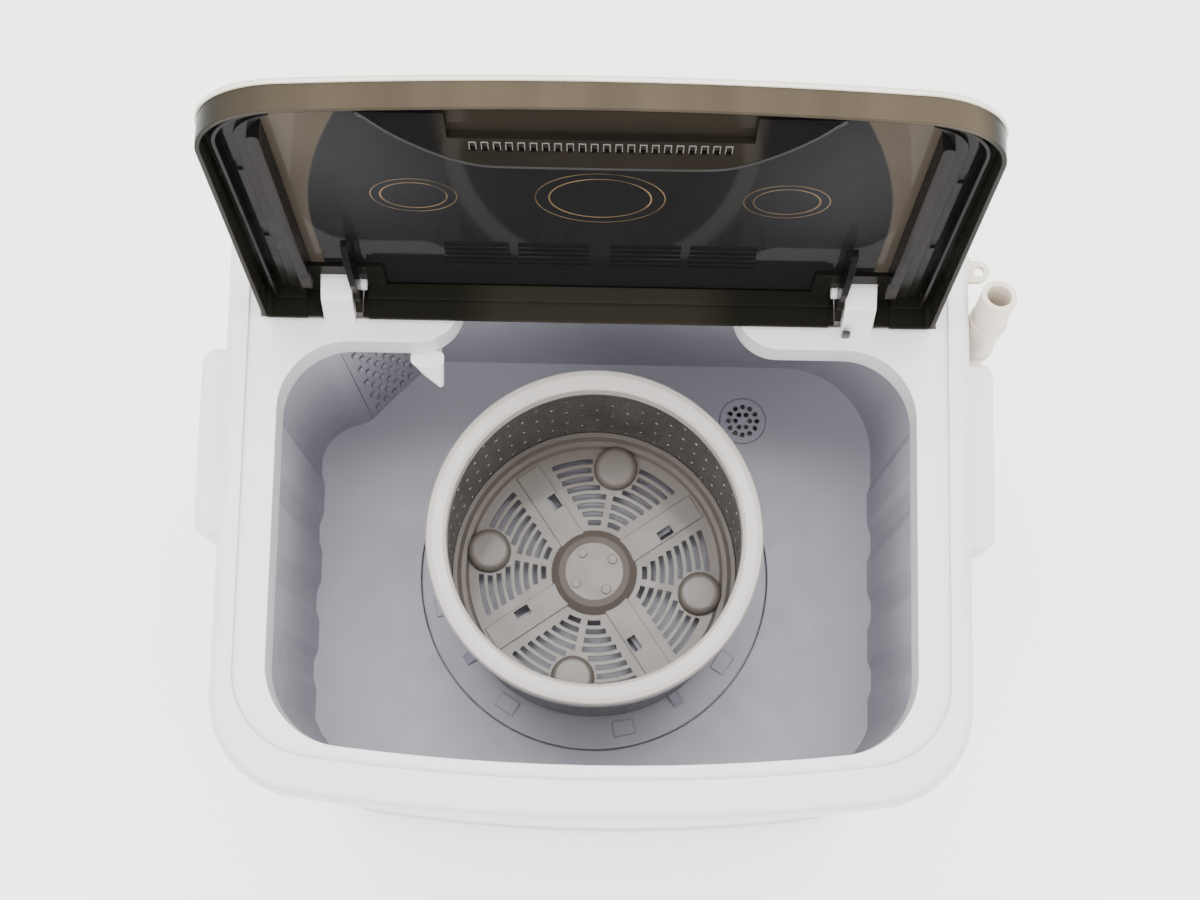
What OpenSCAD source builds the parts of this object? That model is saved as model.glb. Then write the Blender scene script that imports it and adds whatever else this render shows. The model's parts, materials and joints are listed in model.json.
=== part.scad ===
// A small top-loading washing machine with a lift-out spin basket.
// Units are millimetres. Z is up, X points to the right and Y to the back.
// The origin is the centre of the footprint on the floor, and the lid is drawn open.

/* [Cabinet] */
// Height of the top frame's flange above the floor
rim_z = 548; // [530:1:620]
// Width across the top frame's flange
rim_w = 420; // [416:1:436]
// Depth across the top frame's flange
rim_d = 356; // [354:1:372]
// Front corner radius of the flange, seen from above
corner_r = 52.5; // [46:0.5:60]
// Rear corner radius of the flange, seen from above
rear_r = 30; // [24:1:40]
// Radius of the bowed front
bow_r = 1239; // [1000:1:2500]
// Wall of the moulded parts
wall = 2.5; // [2:0.1:3]
// Height of the base plinth's top edge above the floor
plinth_z = 46; // [40:1:60]
// Height of a foot
foot_h = 12; // [8:1:16]
// Radius of a foot
foot_r = 17; // [14:1:20]
// Distance of a foot's centre from the flange's side edge
foot_in = 46; // [42:1:60]
// Width of the opening behind the rear cover
hatch_w = 250; // [200:2:270]
// Height of the opening behind the rear cover
hatch_h = 150; // [120:2:170]
// Number of louvre slots in one column of the rear cover
louvres = 9; // [5:1:11]

/* [Top frame] */
// How far the skirt flares out past the flange
flare = 4; // [3.6:0.1:5]
// Height of the skirt below the flange
skirt_h = 34; // [30:1:40]
// Wall of the skirt
skirt_t = 2.6; // [2.2:0.1:3]
// Rounding of the flange's outer edge
edge_r = 4; // [2:0.5:5]
// Width of the raised flange at the sides
flange_side = 10.5; // [9:0.5:12]
// Width of the raised flange at the front
flange_front = 19; // [16:0.5:21]
// Drop from the flange to the deck that the lid closes on
deck_drop = 2.5; // [2:0.5:3.5]
// Thickness of the deck
deck_t = 3; // [2.5:0.5:3.5]
// Distance from the flange's side edge to the loading opening
opening_side = 28.5; // [26:0.5:35]
// Distance from the flange's front edge to the loading opening
opening_front = 27; // [25:0.5:32]
// Front corner radius of the loading opening
opening_r = 46; // [36:1:56]
// Rear corner radius of the loading opening
opening_rear_r = 40; // [30:1:48]
// Distance from the hinge axis forward to the loading opening's wing edge
wing_in = 29.5; // [27:0.5:36]
// Width of the throat between the two wings
throat_w = 156; // [120:2:170]
// Distance from the hinge axis back to the throat's rear edge
throat_back = 2.5; // [1:0.5:4]
// Rounding of the wing corners beside the throat
wing_r = 26; // [16:1:26]
// Reach of the collar below the flange
collar_h = 30; // [24:1:36]
// Distance from the flange's rear edge to the hinge axis
hinge_back = 62.5; // [60:0.5:68]
// Height of the hinge axis over the flange
hinge_h = 16; // [15:0.5:18]
// Distance from the middle of the frame to the middle of a hinge post
post_x = 147.2; // [142:0.2:150]
// Width of a hinge post
post_w = 17.5; // [14:0.5:19]
// Depth of the trough that the lid's heel swings through, below the flange
trough_drop = 10; // [9:0.5:12]
// Radius of a hinge pin
pin_r = 4; // [3:0.25:4.5]

/* [Handles] */
// Length of a side handle
handle_l = 111; // [90:1:120]
// How far a side handle stands out from the cabinet wall
handle_out = 20.5; // [18:0.5:20.5]
// Height of a side handle
handle_h = 34; // [28:1:44]
// Distance of a side handle's middle behind the middle of the frame
handle_y = 32.5; // [20:0.5:32.5]
// Corner radius of a side handle, seen from above
handle_r = 9; // [7:0.5:12]
// Wall of a side handle
handle_t = 3; // [2.5:0.5:4]

/* [Tub] */
// Depth from the flange to the tub floor
tub_depth = 250; // [240:1:262]
// Clearance from the collar's inner face to the tub wall
tub_out = 4.5; // [4:0.5:6]
// Distance from the hinge axis back to the tub's rear wall
tub_back = 15.5; // [13:0.5:18]
// Rear right corner radius of the tub
tub_rear_r = 60; // [50:1:66]
// Thickness of the tub floor
floor_t = 3; // [2.5:0.5:4]
// Number of raised bands on each side wall
bands = 4; // [2:1:4]
// Width of a raised band
band_w = 34; // [20:1:38]
// Height that a band stands off the side wall
band_t = 2.5; // [1.5:0.5:3]
// Depth of the well that the pulsator turns in
well_depth = 7; // [6:0.5:8]
// Radius of the drain strainer
strainer_r = 15.5; // [12:0.5:18]
// Radius of a hole in the drain strainer
strainer_hole_r = 1.6; // [1:0.1:2]
// Distance of the strainer to the right of the middle
drain_x = 99; // [94:1:104]
// Distance of the strainer behind the middle
drain_y = 93.5; // [90:0.5:96]
// Length of the overflow filter plate
filter_l = 48.6; // [40:0.2:50]
// Thickness of the overflow filter plate
filter_t = 2.2; // [1.8:0.1:3]
// Number of hole columns in the overflow filter
filter_cols = 5; // [3:1:6]
// Number of hole rows in the overflow filter
filter_rows = 10; // [6:1:11]
// Height of a hole in the overflow filter
filter_hole_h = 12; // [6:1:14]

/* [Lid] */
// Distance from the flange's side edge to the lid's edge
lid_side = 18.5; // [16:0.5:22]
// Distance from the flange's front edge to the closed lid
lid_gap = 23.5; // [19.5:0.5:27.5]
// Length of the lid behind the hinge axis
lid_rear = 15; // [13:0.5:15.5]
// Front corner radius of the lid
lid_r = 50; // [40:1:56]
// Depth from the hinge axis to the lid skirt's lower edge
lid_deep = 16.5; // [16:0.1:17]
// Height of the lid's outer face over the hinge axis
lid_top = 5.8; // [5.6:0.2:7]
// Slope of the lid's outer face towards the front, in degrees
lid_slope = 1.4; // [0:0.1:1.6]
// Angle between the closed and the open lid, in degrees
lid_open = 96; // [90:1:98]
// Width of the white bezel round the lid
bezel_w = 8; // [6:0.5:10]
// Thickness of the bezel
bezel_t = 3; // [2.5:0.5:3.5]
// Wall of the lid's skirt
lid_wall = 2.4; // [2:0.1:3]
// Thickness of the lid panel
panel_t = 2.4; // [2:0.1:2.8]
// Width of the side rails, from the lid's edge to the window
rail_w = 27; // [24:0.5:30]
// Width of the frame at the front, from the lid's edge to the window
lip_w = 15; // [12:0.5:18]
// Thickness of a hinge ear
ear_t = 3.6; // [3:0.1:4]
// Number of slots in the finger scoop
scoop_slots = 22; // [12:1:24]
// Pitch of the slots in the finger scoop
scoop_pitch = 5.75; // [5:0.05:6]
// Half width of the finger scoop where it meets the front lip
scoop_half = 112; // [96:1:120]
// Half width of the straight part of the scoop's lower edge
scoop_flat = 52; // [40:1:60]
// Distance from the hinge axis to the scoop's lower edge
scoop_low = 187; // [180:1:195]
// Height that the scoop stands into the lid
scoop_t = 8; // [6:0.5:9]

/* [Basket] */
// Outer radius of the basket's top ring
ring_r = 99.5; // [97:0.5:104]
// Inner radius of the basket's top ring
ring_in = 87; // [84:0.5:89]
// Height of the basket's top ring
ring_h = 19; // [14:0.5:24]
// Outer radius of the perforated wall
basket_r = 94.4; // [93:0.1:96]
// Thickness of the perforated wall
sheet_t = 0.8; // [0.6:0.1:1.2]
// Drop from the flange to the top of the basket
basket_drop = 55; // [45:1:80]
// Height of the basket floor above the tub floor
basket_floor = 20; // [17:0.5:26]
// Number of hole columns in the perforated wall
sheet_cols = 30; // [12:2:30]
// Number of hole rows in the perforated wall
sheet_rows = 9; // [4:1:9]
// Radius of a hole in the perforated wall
sheet_hole_r = 2.2; // [1.5:0.1:2.6]
// Radius of the basket's raised hub
hub_r = 28.4; // [26:0.2:30]
// Width of an arm of the basket floor
arm_w = 17; // [14:0.5:20]
// Angle of the first arm, in degrees
arm_angle = 34.5; // [0:0.5:90]
// Angle from an arm to the dome that follows it, in degrees
dome_angle = 45; // [42:0.5:48]
// Radius of a dome
dome_r = 14.2; // [12:0.2:16]
// Distance of a dome from the middle of the basket
dome_at = 71; // [66:0.5:72]
// Height of a dome
dome_h = 8; // [5:0.5:10]
// Number of curved slots in one fan
fan_slots = 8; // [4:1:8]
// Pitch of the curved slots, along the radius
fan_pitch = 5.9; // [5.2:0.1:6.4]
// Width of a curved slot
fan_slot_w = 3.2; // [2:0.1:3.6]
// Inner radius of the first curved slot
fan_in = 32; // [30:0.5:34]
// Distance from an arm to the ends of the curved slots
fan_off = 6.5; // [4:0.5:7]

/* [Drive] */
// Distance of the drive shaft in front of the middle of the frame
drive_front = 15; // [10:0.5:20]
// Radius of the pulsator
pulsator_r = 115.4; // [112:0.2:118]
// Gap between the pulsator and its well
pulsator_gap = 1; // [0.8:0.1:1.5]
// Thickness of the pulsator disc
pulsator_t = 5; // [4:0.5:5]
// Radius of the drive shaft
shaft_r = 6; // [5:0.25:7]
// Outer radius of a bearing
bearing_r = 16; // [14:0.5:18]
// Width of a bearing
bearing_w = 12; // [9:0.5:14]
// Length of the bearing housing below the tub
housing_l = 60; // [52:1:68]
// Radius of the tub pulley
tub_pulley_r = 72; // [64:1:76]
// Radius of the motor pulley
motor_pulley_r = 18; // [16:0.5:22]
// Width of a pulley
pulley_w = 15; // [13:0.5:17]
// Width of the drive belt
belt_w = 8; // [6:0.5:9]
// Thickness of the drive belt
belt_t = 5; // [4:0.5:6]
// Distance of the motor to the left of the drive shaft
motor_left = 105; // [100:1:112]
// Distance of the motor behind the drive shaft
motor_back = 50; // [44:1:56]
// Radius of the motor
motor_r = 50; // [44:1:54]
// Length of the motor
motor_l = 84; // [70:1:96]
// Radius of the motor's shaft
motor_shaft_r = 5; // [4:0.5:6]
// Thickness of the motor plate
plate_t = 3; // [2:0.5:4]

/* [Controls] */
// Height of the console's front edge over the flange
console_h = 21; // [16:0.5:24]
// Slope of the console's top face, in degrees
console_slope = 18; // [10:1:22]
// Distance from the flange's side edge to the console
console_side = 22; // [18:1:34]
// Radius of a control knob
knob_r = 17; // [14:0.5:18]
// Height of a control knob
knob_h = 15; // [12:0.5:18]
// Distance of a knob from the middle of the console
knob_x = 88; // [70:1:110]
// Radius of a knob's spindle
spindle_r = 3; // [2.5:0.25:3.5]
// Bore radius of the inlet pipe
fill_bore_r = 5; // [4:0.25:5.5]
// Distance of the inlet pipe to the left of the middle
fill_x = 98; // [96:0.5:100]

/* [Hose] */
// Outer radius of the drain hose
hose_r = 10.3; // [9.5:0.1:10.6]
// Bore radius of the drain hose
hose_bore = 7.2; // [6.5:0.1:7.6]
// Distance from the cabinet wall to the hose's middle line
hose_off = 14.4; // [14:0.1:15]
// Distance of the hose behind the middle of the frame
hose_y = 106; // [105.5:0.5:108]
// Height of the outlet's middle line above the floor
outlet_z = 112; // [104:1:130]
// Pitch of the hose's ribs
rib_pitch = 5.2; // [4.6:0.1:7]
// Depth of a rib
rib_t = 1.3; // [0.8:0.1:1.6]
// Radius that the cuff curves on, up to the hose's mouth
cuff_bend_r = 214; // [180:1:220]
// Tilt of the hose's mouth from upright, in degrees
cuff_tilt = 20.5; // [18:0.5:22]

/* [Fits] */
// Clearance between pieces that are assembled
fit = 0.3; // [0.2:0.05:0.4]
// Radial clearance of a shaft or pin in its bore
run_fit = 0.06; // [0.03:0.01:0.09]

/* [Hidden] */
$fn = 72;
// Segments of a full circle at the bowed front's radius
bow_fn = 1440;
// Overlap that joins the solids of one piece
lap = 0.5;
// Extra radius of round corners, so that arcs and straight sides cross instead of only touching
cross = 0.03;
// Length that cuts through whatever it meets
through = 60;

front_y = -rim_d / 2;
rear_y = rim_d / 2;
opening_w = rim_w - 2 * opening_side;
lid_w = rim_w - 2 * lid_side;
lid_front = rim_d - hinge_back - lid_gap;
console_w = rim_w - 2 * console_side;
hinge_y = rear_y - hinge_back;
hinge_z = rim_z + hinge_h;
deck_z = rim_z - deck_drop;
floor_z = rim_z - tub_depth;
drive_y = -drive_front;

// The cabinet shell slips up inside the skirt of the top frame
shell_out = flare - skirt_t - fit;
shell_x = rim_w / 2 + shell_out;
seat_drop = 16.2;
shell_top = rim_z - seat_drop - fit - wall;
shell_rear = rear_y + shell_out;

trough_x = rim_w / 2 - 17;
trough_front = hinge_y - 16;
trough_back = hinge_y + 18.5;
step_rear = trough_back + 1;
wing_y = hinge_y - wing_in;
throat_y = hinge_y + throat_back;
opening_y = front_y + opening_front;

tub_x = opening_w / 2 + tub_out;
tub_front = opening_y - 3;
tub_rear = hinge_y + tub_back;
tub_front_r = opening_r + 2;
well_r = pulsator_r + pulsator_gap;
well_z = floor_z - well_depth;
// The overflow channel fills the tub's rear left corner
channel_a = [-152.7, 90];
channel_turn = 45.5;
channel_deep = 7;

motor_x = -motor_left;
motor_y = drive_y + motor_back;
belt_span = norm([motor_left, motor_back]);
belt_turn = atan2(motor_back, -motor_left);
housing_z = well_z - floor_t;
pulley_top = housing_z - housing_l - fit;
plate_z = pulley_top - pulley_w - 17;
boss_r = 9;
mount_h = 8;
boss_at = [[-165, -20], [-92, -64], [-62, 98], [-165, 85]];

console_front = step_rear;
console_rear = rear_y - 2;
console_y = (console_front + console_rear) / 2;
console_z = rim_z + console_h + (console_y - console_front) * tan(console_slope);

hose_x = shell_x + hose_off;
hose_low = outlet_z + 16;
cuff_z = rim_z - 75;

// Centre distance and angle of the front corners of a plan with a bowed front
function corner_x(w, rf) = w / 2 - rf;
function bow_half(w, rf, bow) = asin(corner_x(w, rf) / (bow - rf));
function corner_y(w, yf, rf, bow) = yf + bow - (bow - rf) * cos(bow_half(w, rf, bow));
// Points of an arc from angle a to angle b in n steps
function arc_points(c, r, a, b, n) =
    [for (i = [0:n]) [c[0] + r * cos(a + (b - a) * i / n), c[1] + r * sin(a + (b - a) * i / n)]];

// A plan with a bowed front, round front corners and round rear corners
module plan(w, yf, yr, rf, rr, bow) {
    xc = corner_x(w, rf);
    a = bow_half(w, rf, bow);
    yc = corner_y(w, yf, rf, bow);
    yb = yf + bow;
    xo = (bow + 2) * sin(a);
    yo = yb - (bow + 2) * cos(a);
    intersection() {
        translate([0, yb]) circle(bow, $fn = bow_fn);
        polygon([[-xo, yo], [-xc, yc], [-xc, yc + lap], [xc, yc + lap],
                 [xc, yc], [xo, yo], [xo, yf - 5], [-xo, yf - 5]]);
    }
    for (s = [-1, 1]) {
        translate([s * xc, yc]) circle(rf + cross);
        translate([s * (w / 2 - rr), yr - rr]) circle(rr + cross);
    }
    translate([-w / 2, yc]) square([w, yr - rr - yc]);
    translate([-w / 2 + rr, yr - rr - lap]) square([w - 2 * rr, rr + lap]);
}

// The flange's plan, grown outward by g
module body_plan(g = 0) {
    plan(rim_w + 2 * g, front_y - g, rear_y + g, corner_r + g, rear_r + g, bow_r + g);
}

// Sweeps a profile round a plan: x is the distance outward from the plan, y is the height
module sweep(w, yf, yr, rf, rr, bow) {
    xc = corner_x(w, rf);
    yc = corner_y(w, yf, rf, bow);
    yb = yf + bow;
    xo = 1.1 * xc;
    yo = yb - 1.1 * (yb - yc);
    for (s = [0, 1]) mirror([s, 0, 0]) {
        intersection() {
            translate([0, yb, 0]) rotate([0, 0, -90])
                rotate_extrude(angle = 15, $fn = bow_fn) translate([bow, 0]) children();
            translate([0, 0, -through]) linear_extrude(2 * through)
                polygon([[-5, yc], [-5, yo], [xo, yo], [xc, yc]]);
        }
        intersection() {
            translate([xc, yc, 0]) rotate([0, 0, 180]) rotate_extrude() translate([rf, 0]) children();
            translate([0, 0, -through]) linear_extrude(2 * through)
                polygon([[xc, yc], [xo, yo], [w, yo], [w, yc]]);
        }
        translate([w / 2, yr - rr, 0]) rotate([90, 0, 0])
            linear_extrude(yr - rr - yc) children();
        translate([w / 2 - rr, yr - rr, 0])
            rotate_extrude(angle = 90) translate([rr, 0]) children();
    }
    translate([-w / 2 + rr, yr, 0]) rotate([90, 0, 90])
        linear_extrude(w - 2 * rr) children();
}

// A rectangle with round corners, centred on the origin
module round_rect(w, d, r) {
    square([w - 2 * r, d], center = true);
    square([w, d - 2 * r], center = true);
    for (x = [-1, 1], y = [-1, 1])
        translate([x * (w / 2 - r), y * (d / 2 - r)]) circle(r + cross);
}

// A tube along Z
module tube(r_out, r_in, h) {
    difference() {
        cylinder(r = r_out, h = h);
        translate([0, 0, -1]) cylinder(r = r_in, h = h + 2);
    }
}

// The frame of the hinge axis, turned by the lid's angle: the closed lid lies along -Y
module at_hinge(a) {
    translate([0, hinge_y, hinge_z]) rotate([-a, 0, 0]) children();
}

// The frame of the console's sloped face, whose Z axis points out of it
module at_console(x = 0) {
    translate([x, console_y, console_z]) rotate([console_slope, 0, 0]) children();
}

// Puts children at the four feet
module at_feet() {
    for (x = [-1, 1], y = [-1, 1])
        translate([x * (rim_w / 2 - foot_in), y * (rim_d / 2 - foot_in), 0]) children();
}

stem_r = 6;
pad_h = 16;

// Rubber feet with a stem that plugs into the plinth
module feet() {
    color("dimgray") at_feet() rotate_extrude()
        polygon([
            [0, 0], [foot_r - 2, 0], [foot_r, 2], [foot_r, foot_h / 2], [foot_r - 2, foot_h],
            [stem_r, foot_h], [stem_r, foot_h + pad_h - 4], [0, foot_h + pad_h - 4]
        ]);
}

beam_w = 26;
beam_l = rim_d - 40;
band_out = 1.5;

// Base plinth: an open ring with a foot pad in each corner and two crossing beams
module base_plinth() {
    color("white") difference() {
        union() {
            translate([0, 0, foot_h]) linear_extrude(plinth_z - foot_h) difference() {
                body_plan(shell_out + band_out);
                body_plan(shell_out + band_out - wall - 1);
            }
            translate([0, 0, foot_h]) linear_extrude(3) difference() {
                body_plan(shell_out);
                body_plan(-24);
            }
            translate([0, 0, plinth_z - 6]) linear_extrude(20) difference() {
                body_plan(shell_out - wall - fit);
                body_plan(shell_out - 2 * wall - fit);
            }
            translate([0, 0, plinth_z - 6]) linear_extrude(6) difference() {
                body_plan(shell_out);
                body_plan(shell_out - 2 * wall - fit);
            }
            for (s = [-1, 1]) {
                translate([s * (rim_w / 2 - foot_in) - beam_w / 2, -beam_l / 2, foot_h])
                    cube([beam_w, beam_l, 3]);
                translate([s * (rim_w / 2 - foot_in) - wall / 2, -beam_l / 2, foot_h])
                    cube([wall, beam_l, 20]);
            }
            at_feet() translate([0, 0, foot_h]) cylinder(r = foot_r + 4, h = pad_h);
        }
        at_feet() translate([0, 0, foot_h - 1]) cylinder(r = stem_r + fit / 3, h = pad_h + 20);
    }
}

groove_t = 1;
outlet_hole_r = 12;
gland_x = -150;
gland_z = 90;
gland_r = 8;
hatch_z = plinth_z + 34;

// Cabinet shell: one bent wall with a rear hatch, an outlet hole and a cord hole
module cabinet_shell() {
    color("whitesmoke") difference() {
        translate([0, 0, plinth_z]) linear_extrude(shell_top - plinth_z) difference() {
            body_plan(shell_out);
            body_plan(shell_out - wall);
        }
        for (z = [plinth_z + 12, plinth_z + 20])
            translate([0, 0, z]) linear_extrude(3) difference() {
                body_plan(shell_out + 5);
                body_plan(shell_out - groove_t);
            }
        translate([-hatch_w / 2, rear_y - 20, hatch_z]) cube([hatch_w, through, hatch_h]);
        translate([shell_x - 20, hose_y, outlet_z]) rotate([0, 90, 0])
            cylinder(r = outlet_hole_r, h = through);
        translate([gland_x, rear_y - 20, gland_z]) rotate([-90, 0, 0])
            cylinder(r = gland_r + fit, h = through);
        translate([-pipe_x, rear_y - 20, pipe_z]) rotate([-90, 0, 0])
            cylinder(r = pipe_r + fit, h = through);
    }
}

cover_lip = 12;
cover_t = 2.5;
louvre_w = 78;
louvre_h = 4;

// Rear cover with two columns of louvre slots, seated over the hatch
module rear_cover() {
    color("white") difference() {
        union() {
            translate([0, shell_rear, hatch_z + hatch_h / 2]) rotate([-90, 0, 0])
                linear_extrude(cover_t) round_rect(hatch_w + 2 * cover_lip, hatch_h + 2 * cover_lip, 8);
            translate([-hatch_w / 2 + fit, shell_rear - 2, hatch_z + fit])
                cube([hatch_w - 2 * fit, 3, hatch_h - 2 * fit]);
        }
        for (x = [-1, 1], i = [0:louvres - 1])
            translate([x * hatch_w / 4 - louvre_w / 2, shell_rear - through / 2,
                       hatch_z + hatch_h * (i + 1) / (louvres + 1) - louvre_h / 2])
                cube([louvre_w, through, louvre_h]);
    }
}

// Dome-headed screws of the rear cover
module rear_cover_screws() {
    color("silver") for (x = [-1, 0, 1], z = [-1, 1])
        translate([x * (hatch_w / 2 + cover_lip / 2 - 2), shell_rear + cover_t,
                   hatch_z + hatch_h / 2 + z * (hatch_h / 2 + cover_lip / 2)])
            rotate([-90, 0, 0]) intersection() {
                translate([0, 0, -2]) sphere(r = 4.6);
                cylinder(r = 4, h = 3);
            }
}

// Cord gland in the rear wall, with the bore that the cord goes through
module cord_gland() {
    color("dimgray") translate([gland_x, shell_rear, gland_z]) rotate([-90, 0, 0]) difference() {
        union() {
            cylinder(r = gland_r + 4, h = 3);
            translate([0, 0, -wall - 3]) cylinder(r = gland_r, h = wall + 3 + lap);
            translate([0, 0, 3 - lap]) cylinder(r1 = gland_r, r2 = gland_r - 3, h = 3 + lap);
        }
        translate([0, 0, -through / 2]) cylinder(r = 3.6, h = through);
    }
}

// Plan of the loading opening, grown outward by g
module opening_plan(g = 0) {
    plan(opening_w + 2 * g, opening_y - g, wing_y + g, opening_r + g, opening_rear_r + g, bow_r + g);
    translate([-throat_w / 2 - g, 0]) square([throat_w + 2 * g, throat_y + g]);
    for (s = [-1, 1]) difference() {
        translate([s > 0 ? throat_w / 2 + g - lap : -throat_w / 2 - wing_r, wing_y + g - lap])
            square([wing_r - g + lap, wing_r - g + lap]);
        translate([s * (throat_w / 2 + wing_r), wing_y + wing_r]) circle(wing_r - g + cross);
    }
}

// Plan of the step between the flange and the deck
module step_plan() {
    plan(rim_w - 2 * flange_side, front_y + flange_front, step_rear, corner_r - 5, 6, bow_r);
}

// Plan of the plates inside the rim: its edge is hidden inside the swept rim
module plate_plan() {
    inset = 5.5;
    a = bow_half(rim_w, corner_r, bow_r);
    front_c = [corner_x(rim_w, corner_r), corner_y(rim_w, front_y, corner_r, bow_r)];
    rear_c = [rim_w / 2 - rear_r, rear_y - rear_r];
    polygon(concat(
        arc_points([0, front_y + bow_r], bow_r - inset, -89 - a, -91 + a, 4),
        arc_points(front_c, corner_r - inset, a - 86, -4, 3),
        arc_points(rear_c, rear_r - inset, 5, 85, 3),
        arc_points([-rear_c[0], rear_c[1]], rear_r - inset, 95, 175, 3),
        arc_points([-front_c[0], front_c[1]], corner_r - inset, 184, 266 - a, 3)
    ));
}

// Cross-section of the flange, groove and flared skirt
module rim_profile() {
    polygon(concat(
        [[-8, 0]],
        arc_points([-edge_r, -edge_r], edge_r, 90, 0, 6),
        [[0, -8], [-1.2, -10], [-1.2, -12.5], [flare - 1.2, -14.8], [flare, -16.4],
         [flare, -skirt_h], [flare - skirt_t, -skirt_h], [flare - skirt_t, -seat_drop],
         [-3.5, -seat_drop], [-3.5, -deck_drop - deck_t - 0.8], [-8, -deck_drop - deck_t - 0.8]]
    ));
}

// Cross-section of a hinge post, with x along Y and y along Z, from the hinge axis
module post_profile() {
    polygon([
        [-18.5, -hinge_h - deck_drop - 1], [-18.5, -hinge_h - deck_drop], [-11.5, 3.5], [-10, 5.2],
        [0, 9.2], [4, 9.6], [7.5, 7], [9.5, -hinge_h - trough_drop], [9.5, -hinge_h - trough_drop - 1],
        [-15, -hinge_h - trough_drop - 1]
    ]);
}

pin_in = post_x - post_w / 2 - 7.5;
pin_l = 18;

// Top frame: flange, flared skirt, deck, collar round the loading opening, trough and hinge posts
module top_frame() {
    color("white") difference() {
        union() {
            difference() {
                union() {
                    translate([0, 0, rim_z])
                        sweep(rim_w, front_y, rear_y, corner_r, rear_r, bow_r) rim_profile();
                    translate([0, 0, deck_z - deck_t])
                        linear_extrude(deck_t + deck_drop - 0.05) difference() {
                            plate_plan();
                            step_plan();
                        }
                    translate([0, 0, deck_z - deck_t]) linear_extrude(deck_t) plate_plan();
                    translate([0, 0, rim_z - collar_h]) linear_extrude(collar_h - deck_drop - deck_t + lap)
                        opening_plan(wall);
                    translate([-trough_x - wall, trough_front - wall, rim_z - trough_drop - wall])
                        cube([2 * (trough_x + wall), trough_back - trough_front + 2 * wall, trough_drop]);
                }
                translate([0, 0, rim_z - through]) linear_extrude(2 * through) opening_plan();
                translate([-trough_x, trough_front, rim_z - trough_drop])
                    cube([2 * trough_x, trough_back - trough_front, through]);
            }
            for (s = [-1, 1]) translate([s * post_x - post_w / 2, hinge_y, hinge_z])
                rotate([90, 0, 90]) linear_extrude(post_w) post_profile();
        }
        for (s = [-1, 1]) translate([s > 0 ? pin_in : -pin_in - pin_l, hinge_y, hinge_z])
            rotate([0, 90, 0]) cylinder(r = pin_r + run_fit, h = pin_l + fit);
        translate([-pipe_x - nut_r - fit, rear_y - 4, rim_z - skirt_h - 1])
            cube([2 * (nut_r + fit), flare + 8, pipe_z + nut_r + fit - rim_z + skirt_h + 1]);
    }
}

// Hinge pins, each held in a post and standing inboard through a lid ear
module hinge_pins() {
    color("white") for (s = [-1, 1]) translate([s > 0 ? pin_in : -pin_in - pin_l, hinge_y, hinge_z])
        rotate([0, 90, 0]) cylinder(r = pin_r, h = pin_l);
}

// Small lever of the lid switch, standing on the deck before the right hinge post
module lid_switch() {
    color("black") translate([post_x - post_w / 2 + 0.5, hinge_y - 22.5, deck_z]) rotate([90, 0, 90])
        linear_extrude(4) polygon([[0, 0], [3.5, 0], [3.5, 4], [2.4, 8.5], [0.4, 8.5], [0, 5]]);
}

// Cross-section of a handle wall and its top, with x outward and y up
module handle_profile() {
    polygon(concat(
        [[-handle_r, handle_h], [-handle_r, handle_h - handle_t], [-handle_t, handle_h - handle_t],
         [-handle_t, 1], [-handle_t + 1, 0], [-1, 0], [0, 1]],
        arc_points([-handle_t, handle_h - handle_t], handle_t, 0, 90, 4)
    ));
}

handle_z = rim_z - skirt_h - 2 - handle_h;

// Side handle: a hood open below, closed by the cabinet wall behind it
module side_handle() {
    y = handle_l / 2 - handle_r;
    x = handle_out - handle_r;
    translate([shell_x, handle_y, handle_z]) {
        for (s = [0, 1]) mirror([0, s, 0]) {
            translate([x, y, 0]) rotate_extrude(angle = 90) translate([handle_r, 0]) handle_profile();
            translate([0, y + handle_r, 0]) rotate([90, 0, 90]) linear_extrude(x) handle_profile();
        }
        translate([handle_out, y, 0]) rotate([90, 0, 0]) linear_extrude(2 * y) handle_profile();
        translate([0, -y, handle_h - handle_t]) cube([x, 2 * y, handle_t]);
    }
}

module handle_right() {
    color("white") side_handle();
}

module handle_left() {
    color("white") mirror([1, 0, 0]) side_handle();
}

// Outline of the tub's inside
module tub_plan(g = 0) {
    plan(2 * (tub_x + g), tub_front - g, tub_rear + g, tub_front_r + g, tub_rear_r + g, bow_r + g);
}

// The frame of the overflow filter: x along the plate, y into the channel behind it
module at_filter() {
    translate([channel_a[0], channel_a[1], 0]) rotate([0, 0, channel_turn]) children();
}

// Plan of the filled corner that holds the overflow channel
module channel_plan() {
    polygon(concat(
        [[-tub_x - 1, channel_a[1] - 32]],
        arc_points([channel_a[0] - 4, channel_a[1] - 34], 30, 176, 98, 6),
        [channel_a, channel_a + filter_l * [cos(channel_turn), sin(channel_turn)],
         [channel_a[0] + 44, tub_rear + 1], [-tub_x - 1, tub_rear + 1]]
    ));
}

// Raised band on a side wall, drawn for the right wall
module wall_band() {
    slope = 2.8 * band_t;
    translate([0, 0, floor_z - lap]) linear_extrude(tub_depth - collar_h - 1)
        polygon([[tub_x + lap, -band_w / 2], [tub_x, -band_w / 2], [tub_x - band_t, slope - band_w / 2],
                 [tub_x - band_t, band_w / 2 - slope], [tub_x, band_w / 2], [tub_x + lap, band_w / 2]]);
}

tub_lip_z = rim_z - seat_drop - fit - wall;

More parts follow.
